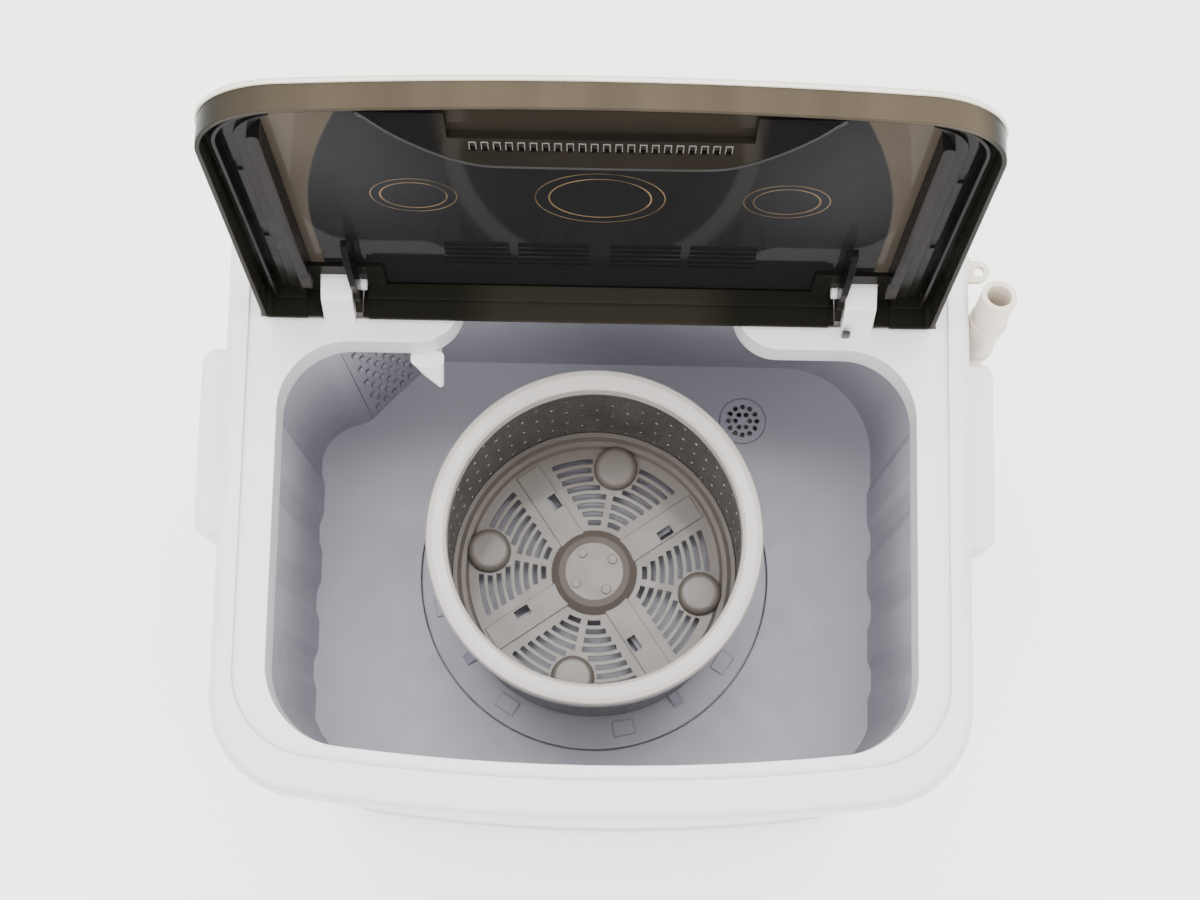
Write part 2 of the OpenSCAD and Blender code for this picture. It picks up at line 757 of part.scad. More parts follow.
// Inner tub: banded side walls, overflow channel, pulsator well, drain seat and mounting bosses
module inner_tub() {
    color("lightsteelblue") difference() {
        union() {
            difference() {
                translate([0, 0, floor_z - floor_t]) linear_extrude(tub_lip_z + wall - floor_z + floor_t)
                    tub_plan(wall);
                translate([0, 0, floor_z]) linear_extrude(tub_depth) difference() {
                    tub_plan();
                    channel_plan();
                }
            }
            translate([0, 0, tub_lip_z]) linear_extrude(wall) difference() {
                body_plan(shell_out);
                tub_plan(wall - lap);
            }
            for (s = [0, 1], i = [0:bands - 1]) mirror([s, 0, 0])
                translate([0, -104 + i * (band_w + 12), 0]) wall_band();
            translate([0, drive_y, well_z - floor_t])
                cylinder(r = well_r + wall, h = well_depth + floor_t - lap);
            for (p = boss_at) translate([p[0], p[1], plate_z + plate_t + mount_h])
                cylinder(r = boss_r, h = floor_z - plate_z - plate_t - mount_h - lap);
        }
        translate([0, drive_y, well_z]) cylinder(r = well_r, h = well_depth + through);
        translate([0, drive_y, well_z - through / 2]) cylinder(r = seal_r + run_fit, h = through);
        translate([drain_x, drain_y, floor_z - 1.8]) cylinder(r = strainer_r + fit, h = through);
        translate([drain_x, drain_y, floor_z - through / 2]) cylinder(r = strainer_r - 2, h = through);
        at_filter() translate([fit, -1, floor_z]) cube([filter_l - 2 * fit, channel_deep + 1, tub_depth]);
        translate([-pipe_x, tub_rear - 20, pipe_z]) rotate([-90, 0, 0])
            cylinder(r = pipe_r + fit, h = 40);
    }
}

filter_drop = 42;

// Overflow filter: a perforated plate across the mouth of the channel
module overflow_filter() {
    h = tub_depth - filter_drop;
    color("lightsteelblue") at_filter() difference() {
        translate([2 * fit, 0, floor_z]) cube([filter_l - 4 * fit, filter_t, h]);
        for (i = [0:filter_cols - 1], j = [0:filter_rows - 1])
            translate([filter_l * (i + 1 + 0.5 * (j % 2)) / (filter_cols + 1.5), filter_t + 1,
                       floor_z + h * (j + 1) / (filter_rows + 1)])
                rotate([90, 0, 0]) linear_extrude(filter_t + 2) polygon(concat(
                    arc_points([0, filter_hole_h / 2 - 1.9], 1.9, 0, 180, 4),
                    arc_points([0, 1.9 - filter_hole_h / 2], 1.9, 180, 360, 4)));
    }
}

// Drain strainer: a perforated disc let into the tub floor
module drain_strainer() {
    color("lightsteelblue") translate([drain_x, drain_y, floor_z - 1.8]) difference() {
        cylinder(r = strainer_r, h = 1.8);
        for (ring = [1, 2], i = [0:6 * ring - 1])
            rotate([0, 0, 60 / ring * i]) translate([ring * strainer_r / 3.2, 0, -1])
                cylinder(r = strainer_hole_r, h = 4, $fn = 24);
    }
}

spout_y = wing_y;

// Inlet spout: a duckbill that hangs below the collar of the left wing
module inlet_spout() {
    color("white") translate([0, spout_y, rim_z - collar_h]) difference() {
        intersection() {
            translate([-120, 0, 0]) rotate([90, 0, 90]) linear_extrude(60)
                polygon([[2, -fit], [-7.5, -fit], [-17, -14.5], [-12, -15.5], [2, -16]]);
            translate([0, 10, 0]) rotate([90, 0, 0]) linear_extrude(40)
                polygon([[-109, -fit], [-103.8, -8], [-94.4, -16], [-91, -17], [-89, -14], [-89.5, -fit]]);
        }
        translate([-pipe_x, 3, pipe_z - rim_z + collar_h]) rotate([90, 0, 0])
            cylinder(r = 3, h = 40, $fn = 32);
    }
}

pipe_x = fill_x;
pipe_z = rim_z - 38;
pipe_r = fill_bore_r + 1.5;
nut_r = pipe_r + 5;

// Inlet pipe: enters through the rear wall and ends at the spout
module inlet_pipe() {
    color("white") translate([-pipe_x, 0, pipe_z]) rotate([-90, 0, 0]) difference() {
        union() {
            translate([0, 0, spout_y + 2 + fit]) cylinder(r = pipe_r, h = shell_rear + 7 - spout_y);
            translate([0, 0, shell_rear]) cylinder(r = nut_r, h = 3);
            translate([0, 0, shell_rear + 6]) cylinder(r = pipe_r + 0.8, h = 2);
        }
        translate([0, 0, spout_y]) cylinder(r = fill_bore_r, h = shell_rear + through - spout_y);
    }
}

unit_w = 34;
unit_h = 16;
unit_d = 20;
facia_t = 1.6;
console_t = 2.5;

// Console housing: a hood with a sloped top, open on the deck
module control_console() {
    rise = (console_rear - console_front) * tan(console_slope);
    color("white") difference() {
        translate([-console_w / 2, 0, 0]) rotate([90, 0, 90]) linear_extrude(console_w)
            polygon([[console_front, rim_z], [console_front, rim_z + console_h],
                     [console_rear, rim_z + console_h + rise], [console_rear, rim_z]]);
        translate([-console_w / 2 + console_t, 0, 0]) rotate([90, 0, 90])
            linear_extrude(console_w - 2 * console_t) polygon([[console_front + console_t, rim_z - 1],
                     [console_front + console_t, rim_z + console_h - console_t * 1.1],
                     [console_rear - console_t, rim_z + console_h + rise - console_t * 1.6],
                     [console_rear - console_t, rim_z - 1]]);
        for (x = [-knob_x, knob_x]) at_console(x)
            translate([0, 0, -through / 2]) cylinder(r = spindle_r + 2, h = through);
    }
}

// Facia: a thin plate on the sloped top with a raised scale round each knob
module console_facia() {
    color("gainsboro") difference() {
        union() {
            at_console() linear_extrude(facia_t) round_rect(console_w - 22, 34, 6);
            for (x = [-knob_x, knob_x], i = [0:8])
                at_console(x) rotate([0, 0, 30 * i - 30]) translate([knob_r - 1.6, -0.4, 0])
                    cube([2.6, 0.8, facia_t + 0.3]);
        }
        for (x = [-knob_x, knob_x]) at_console(x)
            translate([0, 0, -1]) cylinder(r = spindle_r + run_fit, h = 8);
    }
}

// Body of a control under the console's top, bored for its spindle
module control_unit(d) {
    difference() {
        union() {
            translate([0, 0, -console_t - 2 - unit_h]) linear_extrude(unit_h) round_rect(unit_w, d, 3);
            translate([0, 0, -console_t - 2 - lap]) cylinder(r = spindle_r + 1.7, h = console_t + 1.5);
            for (s = [-1, 1]) translate([s * (unit_w / 2 - 6) - 2, -3, -console_t - 2 - unit_h - 4])
                cube([4, 6, 6]);
        }
        translate([0, 0, -console_t - unit_h + 4]) cylinder(r = spindle_r + run_fit, h = unit_h + through);
    }
}

module timer_unit() {
    color("gray") at_console(knob_x) control_unit(unit_d);
}

module selector_unit() {
    color("gray") at_console(-knob_x) control_unit(unit_d - 3);
}

knob_gap = 0.9;

// Control knob with a skirt, a tapered grip and a pointer rib
module knob() {
    difference() {
        union() {
            translate([0, 0, facia_t + knob_gap]) rotate_extrude()
                polygon([[0, 0], [knob_r - 2, 0], [knob_r - 2, 2.5], [knob_r - 3.6, 3.6],
                         [knob_r - 5, knob_h - 1.2], [knob_r - 6.2, knob_h], [0, knob_h]]);
            translate([-1.4, 0, facia_t + knob_gap + 2.5]) cube([2.8, knob_r - 3, knob_h - 1.5]);
        }
        translate([0, 0, 0]) cylinder(r = spindle_r + run_fit, h = facia_t + knob_gap + knob_h - 3);
    }
}

// Spindle of a control, from the unit's bore up into the knob
module spindle() {
    translate([0, 0, -console_t - unit_h + 4 + fit])
        cylinder(r = spindle_r, h = unit_h + console_t + facia_t + knob_gap + knob_h - 9);
}

module timer_knob() {
    color("silver") at_console(knob_x) knob();
}

module timer_spindle() {
    color("dimgray") at_console(knob_x) spindle();
}

module selector_knob() {
    color("silver") at_console(-knob_x) knob();
}

module selector_spindle() {
    color("dimgray") at_console(-knob_x) spindle();
}

seal_r = 14;
flange_r = 44;
housing_r = bearing_r + 6;

// Puts children on the drive shaft's axis
module at_drive(z) {
    translate([0, drive_y, z]) children();
}

// Bearing housing: a flanged sleeve under the tub with four ribs
module bearing_housing() {
    color("gray") at_drive(housing_z - housing_l) difference() {
        union() {
            cylinder(r = housing_r, h = housing_l);
            translate([0, 0, housing_l - 5]) cylinder(r = flange_r, h = 5);
            for (i = [0:3]) rotate([0, 0, 45 + 90 * i]) translate([0, 2, housing_l - 4.5])
                rotate([90, 0, 0]) linear_extrude(4)
                    polygon([[housing_r - 1, 0], [flange_r - 4, 0], [housing_r - 1, -32]]);
        }
        translate([0, 0, -1]) cylinder(r = bearing_r - 4, h = housing_l + 2);
        translate([0, 0, -1]) cylinder(r = bearing_r + fit, h = bearing_w + 5);
        translate([0, 0, housing_l - bearing_w - 4]) cylinder(r = bearing_r + fit, h = bearing_w + 5);
    }
}

// Ball bearing drawn as one ring with shield grooves
module bearing() {
    difference() {
        tube(bearing_r, shaft_r + run_fit, bearing_w);
        for (z = [-1, bearing_w - 0.8]) translate([0, 0, z])
            tube(bearing_r - 2.5, shaft_r + 2.5, 1.8);
    }
}

module upper_bearing() {
    color("silver") at_drive(housing_z - bearing_w - 4 + fit) bearing();
}

module lower_bearing() {
    color("silver") at_drive(housing_z - housing_l + 4 - fit) bearing();
}

// Lip seal between the tub and the shaft
module shaft_seal() {
    color("black") at_drive(housing_z - 3) difference() {
        union() {
            cylinder(r = bearing_r - 4 - fit, h = 3 + lap);
            translate([0, 0, 3]) cylinder(r = seal_r, h = floor_t - fit);
        }
        translate([0, 0, -1]) cylinder(r = shaft_r + run_fit, h = 10);
    }
}

disc_z = well_z + pulsator_gap;
hub_top = floor_z + basket_floor;
cap_r = 8;

// Pulsator: a disc with a hub, four vanes and a ring of raised pads
module pulsator() {
    color("lightsteelblue") at_drive(disc_z) difference() {
        union() {
            cylinder(r = pulsator_r, h = pulsator_t);
            rotate_extrude() polygon([
                [0, 0], [40, pulsator_t - lap], [40, pulsator_t], [30, pulsator_t + 4],
                [hub_r - 6, pulsator_t + 9], [hub_r - 6, hub_top - disc_z], [0, hub_top - disc_z]
            ]);
            for (i = [0:3]) rotate([0, 0, arm_angle + 90 * i]) translate([0, 3.5, pulsator_t - lap])
                rotate([90, 0, 0]) linear_extrude(7)
                    polygon([[20, 0], [104, 0], [100, 3], [78, 11], [20, 13]]);
            for (i = [0:7]) rotate([0, 0, arm_angle + 22.5 + 45 * i])
                translate([98, -7, pulsator_t - lap]) cube([10, 14, 1.6]);
        }
        translate([0, 0, -1]) cylinder(r = shaft_r + fit / 3, h = hub_top - disc_z + 2);
        translate([0, 0, hub_top - disc_z - 5]) cylinder(r = cap_r + fit, h = 10);
    }
}

// Cap of the pulsator's fixing screw
module pulsator_cap() {
    color("silver") at_drive(hub_top - 5) difference() {
        cylinder(r = cap_r, h = 4.5);
        translate([-5, -0.8, 3.3]) cube([10, 1.6, 3]);
    }
}

// Drive shaft, shouldered for the pulley nut
module drive_shaft() {
    color("silver") {
        at_drive(pulley_top - pulley_w) cylinder(r = shaft_r, h = hub_top - 5 - fit - pulley_top + pulley_w);
        at_drive(pulley_top - pulley_w - 12) cylinder(r = shaft_r - 1, h = 12 + lap);
    }
}

// Cross-section of a belt pulley of outer radius r with a bore and a hub
module pulley_profile(r, bore, hub) {
    floor_r = r - belt_t - fit;
    e = (pulley_w - belt_w) / 2 - fit;
    polygon([
        [bore, 0], [hub, 0], [hub, pulley_w / 2 - 2], [floor_r - 4, pulley_w / 2 - 2], [floor_r - 4, 0],
        [r, 0],
        [r, e - 0.8], [r - 1.5, e], [floor_r, e], [floor_r, pulley_w - e], [r - 1.5, pulley_w - e],
        [r, pulley_w - e + 0.8], [r, pulley_w], [floor_r - 4, pulley_w], [floor_r - 4, pulley_w / 2 + 2],
        [hub, pulley_w / 2 + 2], [hub, pulley_w], [bore, pulley_w]
    ]);
}

// Large pulley on the drive shaft, with round lightening holes
module tub_pulley() {
    color("gray") at_drive(pulley_top - pulley_w) difference() {
        rotate_extrude() pulley_profile(tub_pulley_r, shaft_r + fit / 3, 14);
        for (i = [0:4]) rotate([0, 0, 72 * i]) translate([tub_pulley_r / 2 + 3, 0, -1])
            cylinder(r = 13, h = pulley_w + 2);
    }
}

// Hexagonal nut that holds the large pulley
module pulley_nut() {
    color("silver") at_drive(pulley_top - pulley_w - 7) difference() {
        cylinder(r = 10, h = 7, $fn = 6);
        translate([0, 0, -1]) cylinder(r = shaft_r - 1 + fit / 3, h = 9);
    }
}

// Puts children on the motor's axis
module at_motor(z) {
    translate([motor_x, motor_y, z]) children();
}

motor_pulley_hub = 11;

// Small pulley on the motor's shaft
module motor_pulley() {
    r = motor_pulley_r;
    e = (pulley_w - belt_w) / 2 - fit;
    color("silver") at_motor(pulley_top - pulley_w) rotate_extrude()
        polygon([
            [motor_shaft_r + fit / 3, -4], [motor_pulley_hub - 2, -4], [motor_pulley_hub - 2, 0], [r, 0],
            [r, e - 0.8], [r - 1.5, e], [r - belt_t - fit, e], [r - belt_t - fit, pulley_w - e],
            [r - 1.5, pulley_w - e],
            [r, pulley_w - e + 0.8], [r, pulley_w], [motor_shaft_r + fit / 3, pulley_w]
        ]);
}

module motor_shaft() {
    color("silver") at_motor(plate_z - motor_l - 10)
        cylinder(r = motor_shaft_r, h = motor_l + 10 + pulley_top - plate_z + 2);
}

// Motor: a finned can with end caps and a terminal box
module motor() {
    color("dimgray") at_motor(plate_z - motor_l) difference() {
        union() {
            cylinder(r = motor_r - 4, h = motor_l);
            translate([0, 0, 8]) cylinder(r = motor_r, h = motor_l - 22);
            for (i = [0:2]) translate([0, 0, 14 + 18 * i]) cylinder(r = motor_r + 1.5, h = 5);
            translate([motor_r - 8, -16, 18]) cube([22, 32, 36]);
        }
        translate([0, 0, -1]) cylinder(r = motor_shaft_r + run_fit, h = motor_l + 2);
    }
}

cap_at = [-112, -44];
cap_body_r = 16;

// Motor plate: bars between the four mounts round a web, with a lobe for the capacitor
module motor_plate() {
    color("gray") translate([0, 0, plate_z]) difference() {
        linear_extrude(plate_t) {
            polygon(boss_at);
            for (p = boss_at) translate(p) circle(boss_r + 3);
            translate(cap_at) circle(cap_body_r + 4);
        }
        at_motor(-1 - plate_z) translate([0, 0, plate_z]) cylinder(r = motor_shaft_r + 4, h = plate_t + 2);
    }
}

// Rubber mounts between the motor plate and the tub's bosses
module motor_mounts() {
    color("black") for (p = boss_at) translate([p[0], p[1], plate_z + plate_t]) rotate_extrude()
        polygon([[0, 0], [boss_r, 0], [boss_r, 2], [boss_r - 2.5, 3], [boss_r - 2.5, mount_h - 3],
                 [boss_r, mount_h - 2], [boss_r, mount_h], [0, mount_h]]);
}

// Start capacitor under the motor plate, with two terminals
module capacitor() {
    color("silver") translate([cap_at[0], cap_at[1], plate_z - 64]) {
        cylinder(r = cap_body_r, h = 64);
        for (s = [-1, 1]) translate([s * 6 - 1.5, -0.5, -6]) cube([3, 1, 7]);
    }
}

// Half of a belt round one pulley: a sector with its straight run
module belt_outline_part(r, from, span) {
    rotate([0, 0, from]) rotate_extrude(angle = span) translate([r - belt_t, 0]) square([belt_t, belt_w]);
}

// Drive belt: two sectors joined by two tangent runs
module drive_belt() {
    lean = asin((tub_pulley_r - motor_pulley_r) / belt_span);
    run = belt_span * cos(lean);
    color("black") at_drive(pulley_top - pulley_w / 2 - belt_w / 2) rotate([0, 0, belt_turn]) {
        belt_outline_part(tub_pulley_r, 90 - lean, 180 + 2 * lean);
        translate([belt_span, 0, 0]) belt_outline_part(motor_pulley_r, lean - 90, 180 - 2 * lean);
        for (s = [0, 1]) mirror([0, s, 0]) rotate([0, 0, -lean])
            translate([0, tub_pulley_r - belt_t, 0]) cube([run, belt_t, belt_w]);
    }
}

valve_z = floor_z - floor_t;
spigot_r = 9.2;
duct_r = 12;

// Drain valve: a cup under the strainer with a spigot and a solenoid
module drain_valve() {
    color("white") difference() {
        union() {
            translate([drain_x, drain_y, valve_z - 33]) cylinder(r = strainer_r + 5, h = 33);
            translate([drain_x, drain_y, valve_z - 4]) cylinder(r = strainer_r + 10, h = 4);
            translate([drain_x, hose_y, valve_z - 44]) cylinder(r = 12.5, h = 26);
            translate([drain_x, hose_y, valve_z - 62]) cylinder(r = spigot_r, h = 22);
            translate([drain_x - 58, drain_y - 13, valve_z - 32]) cube([44, 26, 24]);
        }
        translate([drain_x, drain_y, valve_z - 28]) cylinder(r = strainer_r - 2, h = through);
        translate([drain_x, hose_y, valve_z - 70]) cylinder(r = 6.6, h = 46);
    }
}

// A pipe bend that starts upward at the origin and turns toward +X
module bend(r_bend, angle, r_out, r_in, from = 0) {
    rotate([0, 0, 180]) translate([-r_bend, 0, 0]) rotate([90, 0, 0])
        rotate([0, 0, from]) rotate_extrude(angle = angle)
        translate([r_bend, 0]) difference() {
            circle(r_out);
            circle(r_in);
        }
}

duct_bend = 24;
duct_end = shell_x - wall - 8;

// Drain pipe from the valve's spigot down and across to the outlet
module drain_pipe() {
    x0 = drain_x;
    color("gray") {
        translate([x0, hose_y, outlet_z + duct_bend])
            tube(duct_r, spigot_r + fit / 3, valve_z - 44 - fit - outlet_z - duct_bend);
        translate([x0, hose_y, outlet_z + duct_bend]) rotate([180, 0, 0])
            bend(duct_bend, 90, duct_r, spigot_r + fit / 3);
        translate([x0 + duct_bend, hose_y, outlet_z]) rotate([0, 90, 0])
            tube(duct_r, spigot_r + fit / 3, duct_end - x0 - duct_bend);
    }
}

elbow_r = 10.5;
elbow_bend = hose_off - 1;
barb_l = 14;

// Outlet elbow through the cabinet wall, turned up into a barb
module outlet_elbow() {
    color("gainsboro") translate([shell_x, hose_y, outlet_z]) {
        translate([-22, 0, 0]) rotate([0, 90, 0]) tube(spigot_r, 6, 22);
        translate([-wall - 3, 0, 0]) rotate([0, 90, 0]) tube(outlet_hole_r - fit, 6, wall + 4);
        rotate([0, 90, 0]) tube(16, 6, 1);
        translate([hose_off, 0, elbow_bend]) rotate([0, 180, 0]) bend(elbow_bend, 90, elbow_r, 6);
        translate([hose_off, 0, elbow_bend]) tube(elbow_r, 6, hose_low - outlet_z - elbow_bend - fit);
        translate([hose_off, 0, hose_low - outlet_z - 2]) tube(hose_bore - 0.1, 5.6, barb_l + 2);
    }
}

ribs = floor((cuff_z - hose_low) / rib_pitch);

// Drain hose: a ribbed tube that stands up the cabinet's side
module drain_hose() {
    valley = hose_r - rib_t;
    color("gainsboro") translate([hose_x, hose_y, 0]) rotate_extrude($fn = 48)
        polygon(concat(
            [[hose_bore, cuff_z], [hose_bore, hose_low], [valley, hose_low]],
            [for (i = [0:ribs - 1], p = [[valley, 0.18], [hose_r, 0.34], [hose_r, 0.66], [valley, 0.82]])
                [p[0], hose_low + rib_pitch * (i + p[1])]],
            [[valley, cuff_z]]
        ));
}

cuff_turn = 75;

// Hose cuff: a smooth sleeve that leans back to the open mouth, with two collar bands
module hose_cuff() {
    color("gainsboro") translate([hose_x, hose_y, cuff_z + fit]) rotate([0, 0, cuff_turn]) {
        bend(cuff_bend_r, cuff_tilt, hose_r, hose_bore);
        for (from = [1, 11.5]) bend(cuff_bend_r, 2.2, hose_r + 0.9, hose_r - 1, from);
    }
}

clip_z = [outlet_z + 150, outlet_z + 320];

// Open clips that hold the hose to the cabinet's side
module hose_clip() {
    color("white") for (z = clip_z) translate([shell_x, hose_y, z]) difference() {
        union() {
            translate([hose_off, 0, 0]) cylinder(r = hose_r + fit + 2, h = 12);
            translate([0, -9, 0]) cube([hose_off, 18, 12]);
            translate([0, -15, 0]) cube([2, 30, 12]);
        }
        translate([hose_off, 0, -1]) cylinder(r = hose_r + fit, h = 14);
        translate([hose_off, 0, -1]) linear_extrude(14) polygon([[0, 0], [30, -22], [30, 22]]);
    }
}

hook_y = 139.5;
hook_x = rim_w / 2 + flare;

// Small eye on the skirt that ties the hose's mouth
module hose_hook() {
    color("gainsboro") translate([hook_x, hook_y, rim_z - 27]) difference() {
        union() {
            translate([6.8, 0, 0]) cylinder(r = 6.5, h = 4);
            translate([0, -6.5, 0]) cube([6.8, 13, 4]);
            translate([0, -7.5, -4]) cube([1.6, 15, 12]);
        }
        translate([7.6, 0, -1]) cylinder(r = 3, h = 6);
    }
}

// A plan of the closed lid in the hinge frame, grown outward by g
module lid_plan(g = 0) {
    plan(lid_w + 2 * g, -lid_front - g, lid_rear + g, lid_r + g, max(0.8, 6 + g), bow_r + g);
}

// The lid's window: the opening of the frame's border
module window_plan() {
    plan(lid_w - 2 * rail_w, -lid_front + lip_w, lid_rear - 6, lid_r - rail_w + 8, 3, bow_r);
}

// Turns children into the lid's outer face, whose Z axis points out of the lid
module lid_face() {
    translate([0, 0, lid_top]) rotate([lid_slope, 0, 0]) children();
}

notch_in = 130.4;
notch_out = 157;
notch_front = 12.8;
fin_x = 134;
plate_h = 2.5;
skirt_in = 1;

// Cut that clears the hinge pins and posts: through everything above the fins
module hinge_notch(x_in, x_out) {
    for (s = [0, 1]) mirror([s, 0, 0])
        translate([x_in, -notch_front, -through / 2])
            cube([x_out - x_in, lid_rear + notch_front + 1, through]);
}

// A band of the lid's frame between two insets, from z0 up to z1 in the face frame
module lid_band(g0, g1, z0, z1) {
    translate([0, 0, z0]) linear_extrude(z1 - z0) difference() {
        lid_plan(-g0);
        lid_plan(-g1);
    }
}

// Hinge ear with its pin hole and a smaller hole
module lid_ear() {
    translate([fin_x, 0, 0]) rotate([90, 0, 90]) difference() {
        linear_extrude(ear_t) polygon(concat(
            [[13, -13]], [[13, 0]],
            [[4, 5.2], [-12, 4.6], [-notch_front - 2, 1], [-72, -3.2], [-75.5, -4.4], [-75.5, -8.6],
             [-72, -10], [-50, -11.5], [-24, -11.5]],
            arc_points([0, 0], 10.5, 240, 290, 5)
        ));
        translate([0, 0, -1]) cylinder(r = pin_r + run_fit, h = ear_t + 2);
        translate([-42, -6, -1]) cylinder(r = 2.2, h = ear_t + 2, $fn = 32);
    }
}

bar_x = lid_w / 2 - rail_w - 2;
bar_front = 48 - lid_front;
bar_rear = -8;

// Lid frame: skirt, border, stepped rails, raised inner bars and hinge ears
module lid_frame() {
    color("dimgray") at_hinge(lid_open) {
        difference() {
            lid_face() difference() {
                union() {
                    lid_band(skirt_in, skirt_in + lid_wall, -32, -bezel_t);
                    translate([0, 0, -bezel_t - plate_h]) linear_extrude(plate_h) {
                        difference() {
                            lid_plan(-skirt_in - 0.5);
                            window_plan();
                        }
                        for (s = [-1, 1]) translate([s > 0 ? 120 : -lid_w / 2 + 20, -26])
                            square([lid_w / 2 - 140, 26 + lid_rear - 6]);
                    }
                    lid_band(8.5, 10.4, -13, -bezel_t - 1);
                    difference() {
                        union() {
                            lid_band(13.5, 19, -7.6, -bezel_t - 1);
                            lid_band(18.5, rail_w - 0.5, -9.6, -bezel_t - 1);
                        }
                        translate([0, 0, -40]) linear_extrude(80) window_plan();
                        translate([-lid_w / 2, -2, -40]) cube([lid_w, 40, 80]);
                    }
                    for (s = [-1, 1]) {
                        translate([s * bar_x - 3, bar_front, -14])
                            cube([6, bar_rear - bar_front, 14 - bezel_t - 0.1]);
                        for (y = [bar_front, bar_rear]) translate([s * bar_x, y, -14])
                            cylinder(r = 3, h = 14 - bezel_t - 0.1);
                    }
                }
                for (s = [-1, 1], y = [-175, -84])
                    translate([s * (lid_w / 2 - 15) - 1.6, y - 6, -20]) cube([3.2, 12, 13.5]);
                for (x = [-96.5, 0, 96.5])
                    translate([x - 8.5, -lid_front + 3.8 + x * x / (2 * bow_r), -20]) cube([17, 3.4, 17.4]);
                hinge_notch(notch_in, 165);
            }
            translate([-lid_w, -lid_front - 10, -lid_deep - through])
                cube([2 * lid_w, lid_front + 40, through]);
        }
        for (s = [0, 1]) mirror([s, 0, 0]) lid_ear();
    }
}

// Outline of the finger scoop, grown outward by g
module scoop_plan(g = 0) {
    x0 = scoop_half + g;
    y0 = -scoop_low - 62;
    side = [for (i = [0:5]) [x0 - (scoop_half - scoop_flat) * i / 6,
        y0 + (i > 0 ? 3 + g : -g) + 59 * (1 - pow(1 - i / 6, 1.7))]];
    polygon(concat(side, [[scoop_flat + g, y0 + 62 + g], [-scoop_flat - g, y0 + 62 + g]],
        [for (i = [5:-1:0]) [-side[i][0], side[i][1]]]));
}

pocket_w = 144;

// Lid panel: a thin dark sheet with a slotted finger scoop and four groups of ribs
module lid_panel() {
    color("black") at_hinge(lid_open) lid_face() difference() {
        union() {
            translate([0, 0, -bezel_t]) linear_extrude(panel_t) {
                lid_plan(-bezel_w - fit);
                translate([-notch_in, 0]) square([2 * notch_in, lid_rear]);
            }
            translate([0, 0, -bezel_t - scoop_t]) linear_extrude(scoop_t + lap) scoop_plan();
            for (g = [[-84, 35], [-44, 38], [6, 38], [49, 36]], i = [0:4])
                translate([g[0], -31 - 7 * i, -bezel_t - 1.4]) cube([g[1], 1.6, 1.4 + lap]);
        }
        difference() {
            translate([0, 0, -bezel_t - scoop_t + 2]) linear_extrude(scoop_t + through) scoop_plan(-2.2);
            translate([-pocket_w / 2 - 2, -scoop_low - 65, -bezel_t - scoop_t - 1])
                cube([pocket_w + 4, 33, 7]);
        }
        translate([-pocket_w / 2, -scoop_low - 63, -bezel_t - scoop_t - 1]) cube([pocket_w, 29, 5]);
        for (i = [0:scoop_slots - 1])
            translate([(i - (scoop_slots - 1) / 2) * scoop_pitch - 1.3, -scoop_low - 30,
                       -bezel_t - scoop_t - 1])
                cube([2.6, 11, 4]);
        hinge_notch(notch_in, notch_out);
    }
}

// Lid bezel: a white rim round the front and the sides of the panel
module lid_bezel() {
    color("white") at_hinge(lid_open) lid_face() difference() {
        union() {
            lid_band(0, bezel_w, -bezel_t, -1);
            lid_band(1, bezel_w, -1 - lap, 0);
        }
        translate([-notch_out, -notch_front, -through / 2])
            cube([2 * notch_out, lid_rear + notch_front + 1, through]);
    }
}

base_z = floor_z + basket_floor;
base_r = basket_r - sheet_t - fit;
base_t = 2.5;

// Half the angle that a dome, or the rib in its line, takes from a fan at radius r
function dome_gap(r) = r < dome_at - dome_r - 2 ? asin(2.4 / r)
    : acos((r * r + dome_at * dome_at - (dome_r + 2) * (dome_r + 2)) / (2 * r * dome_at));

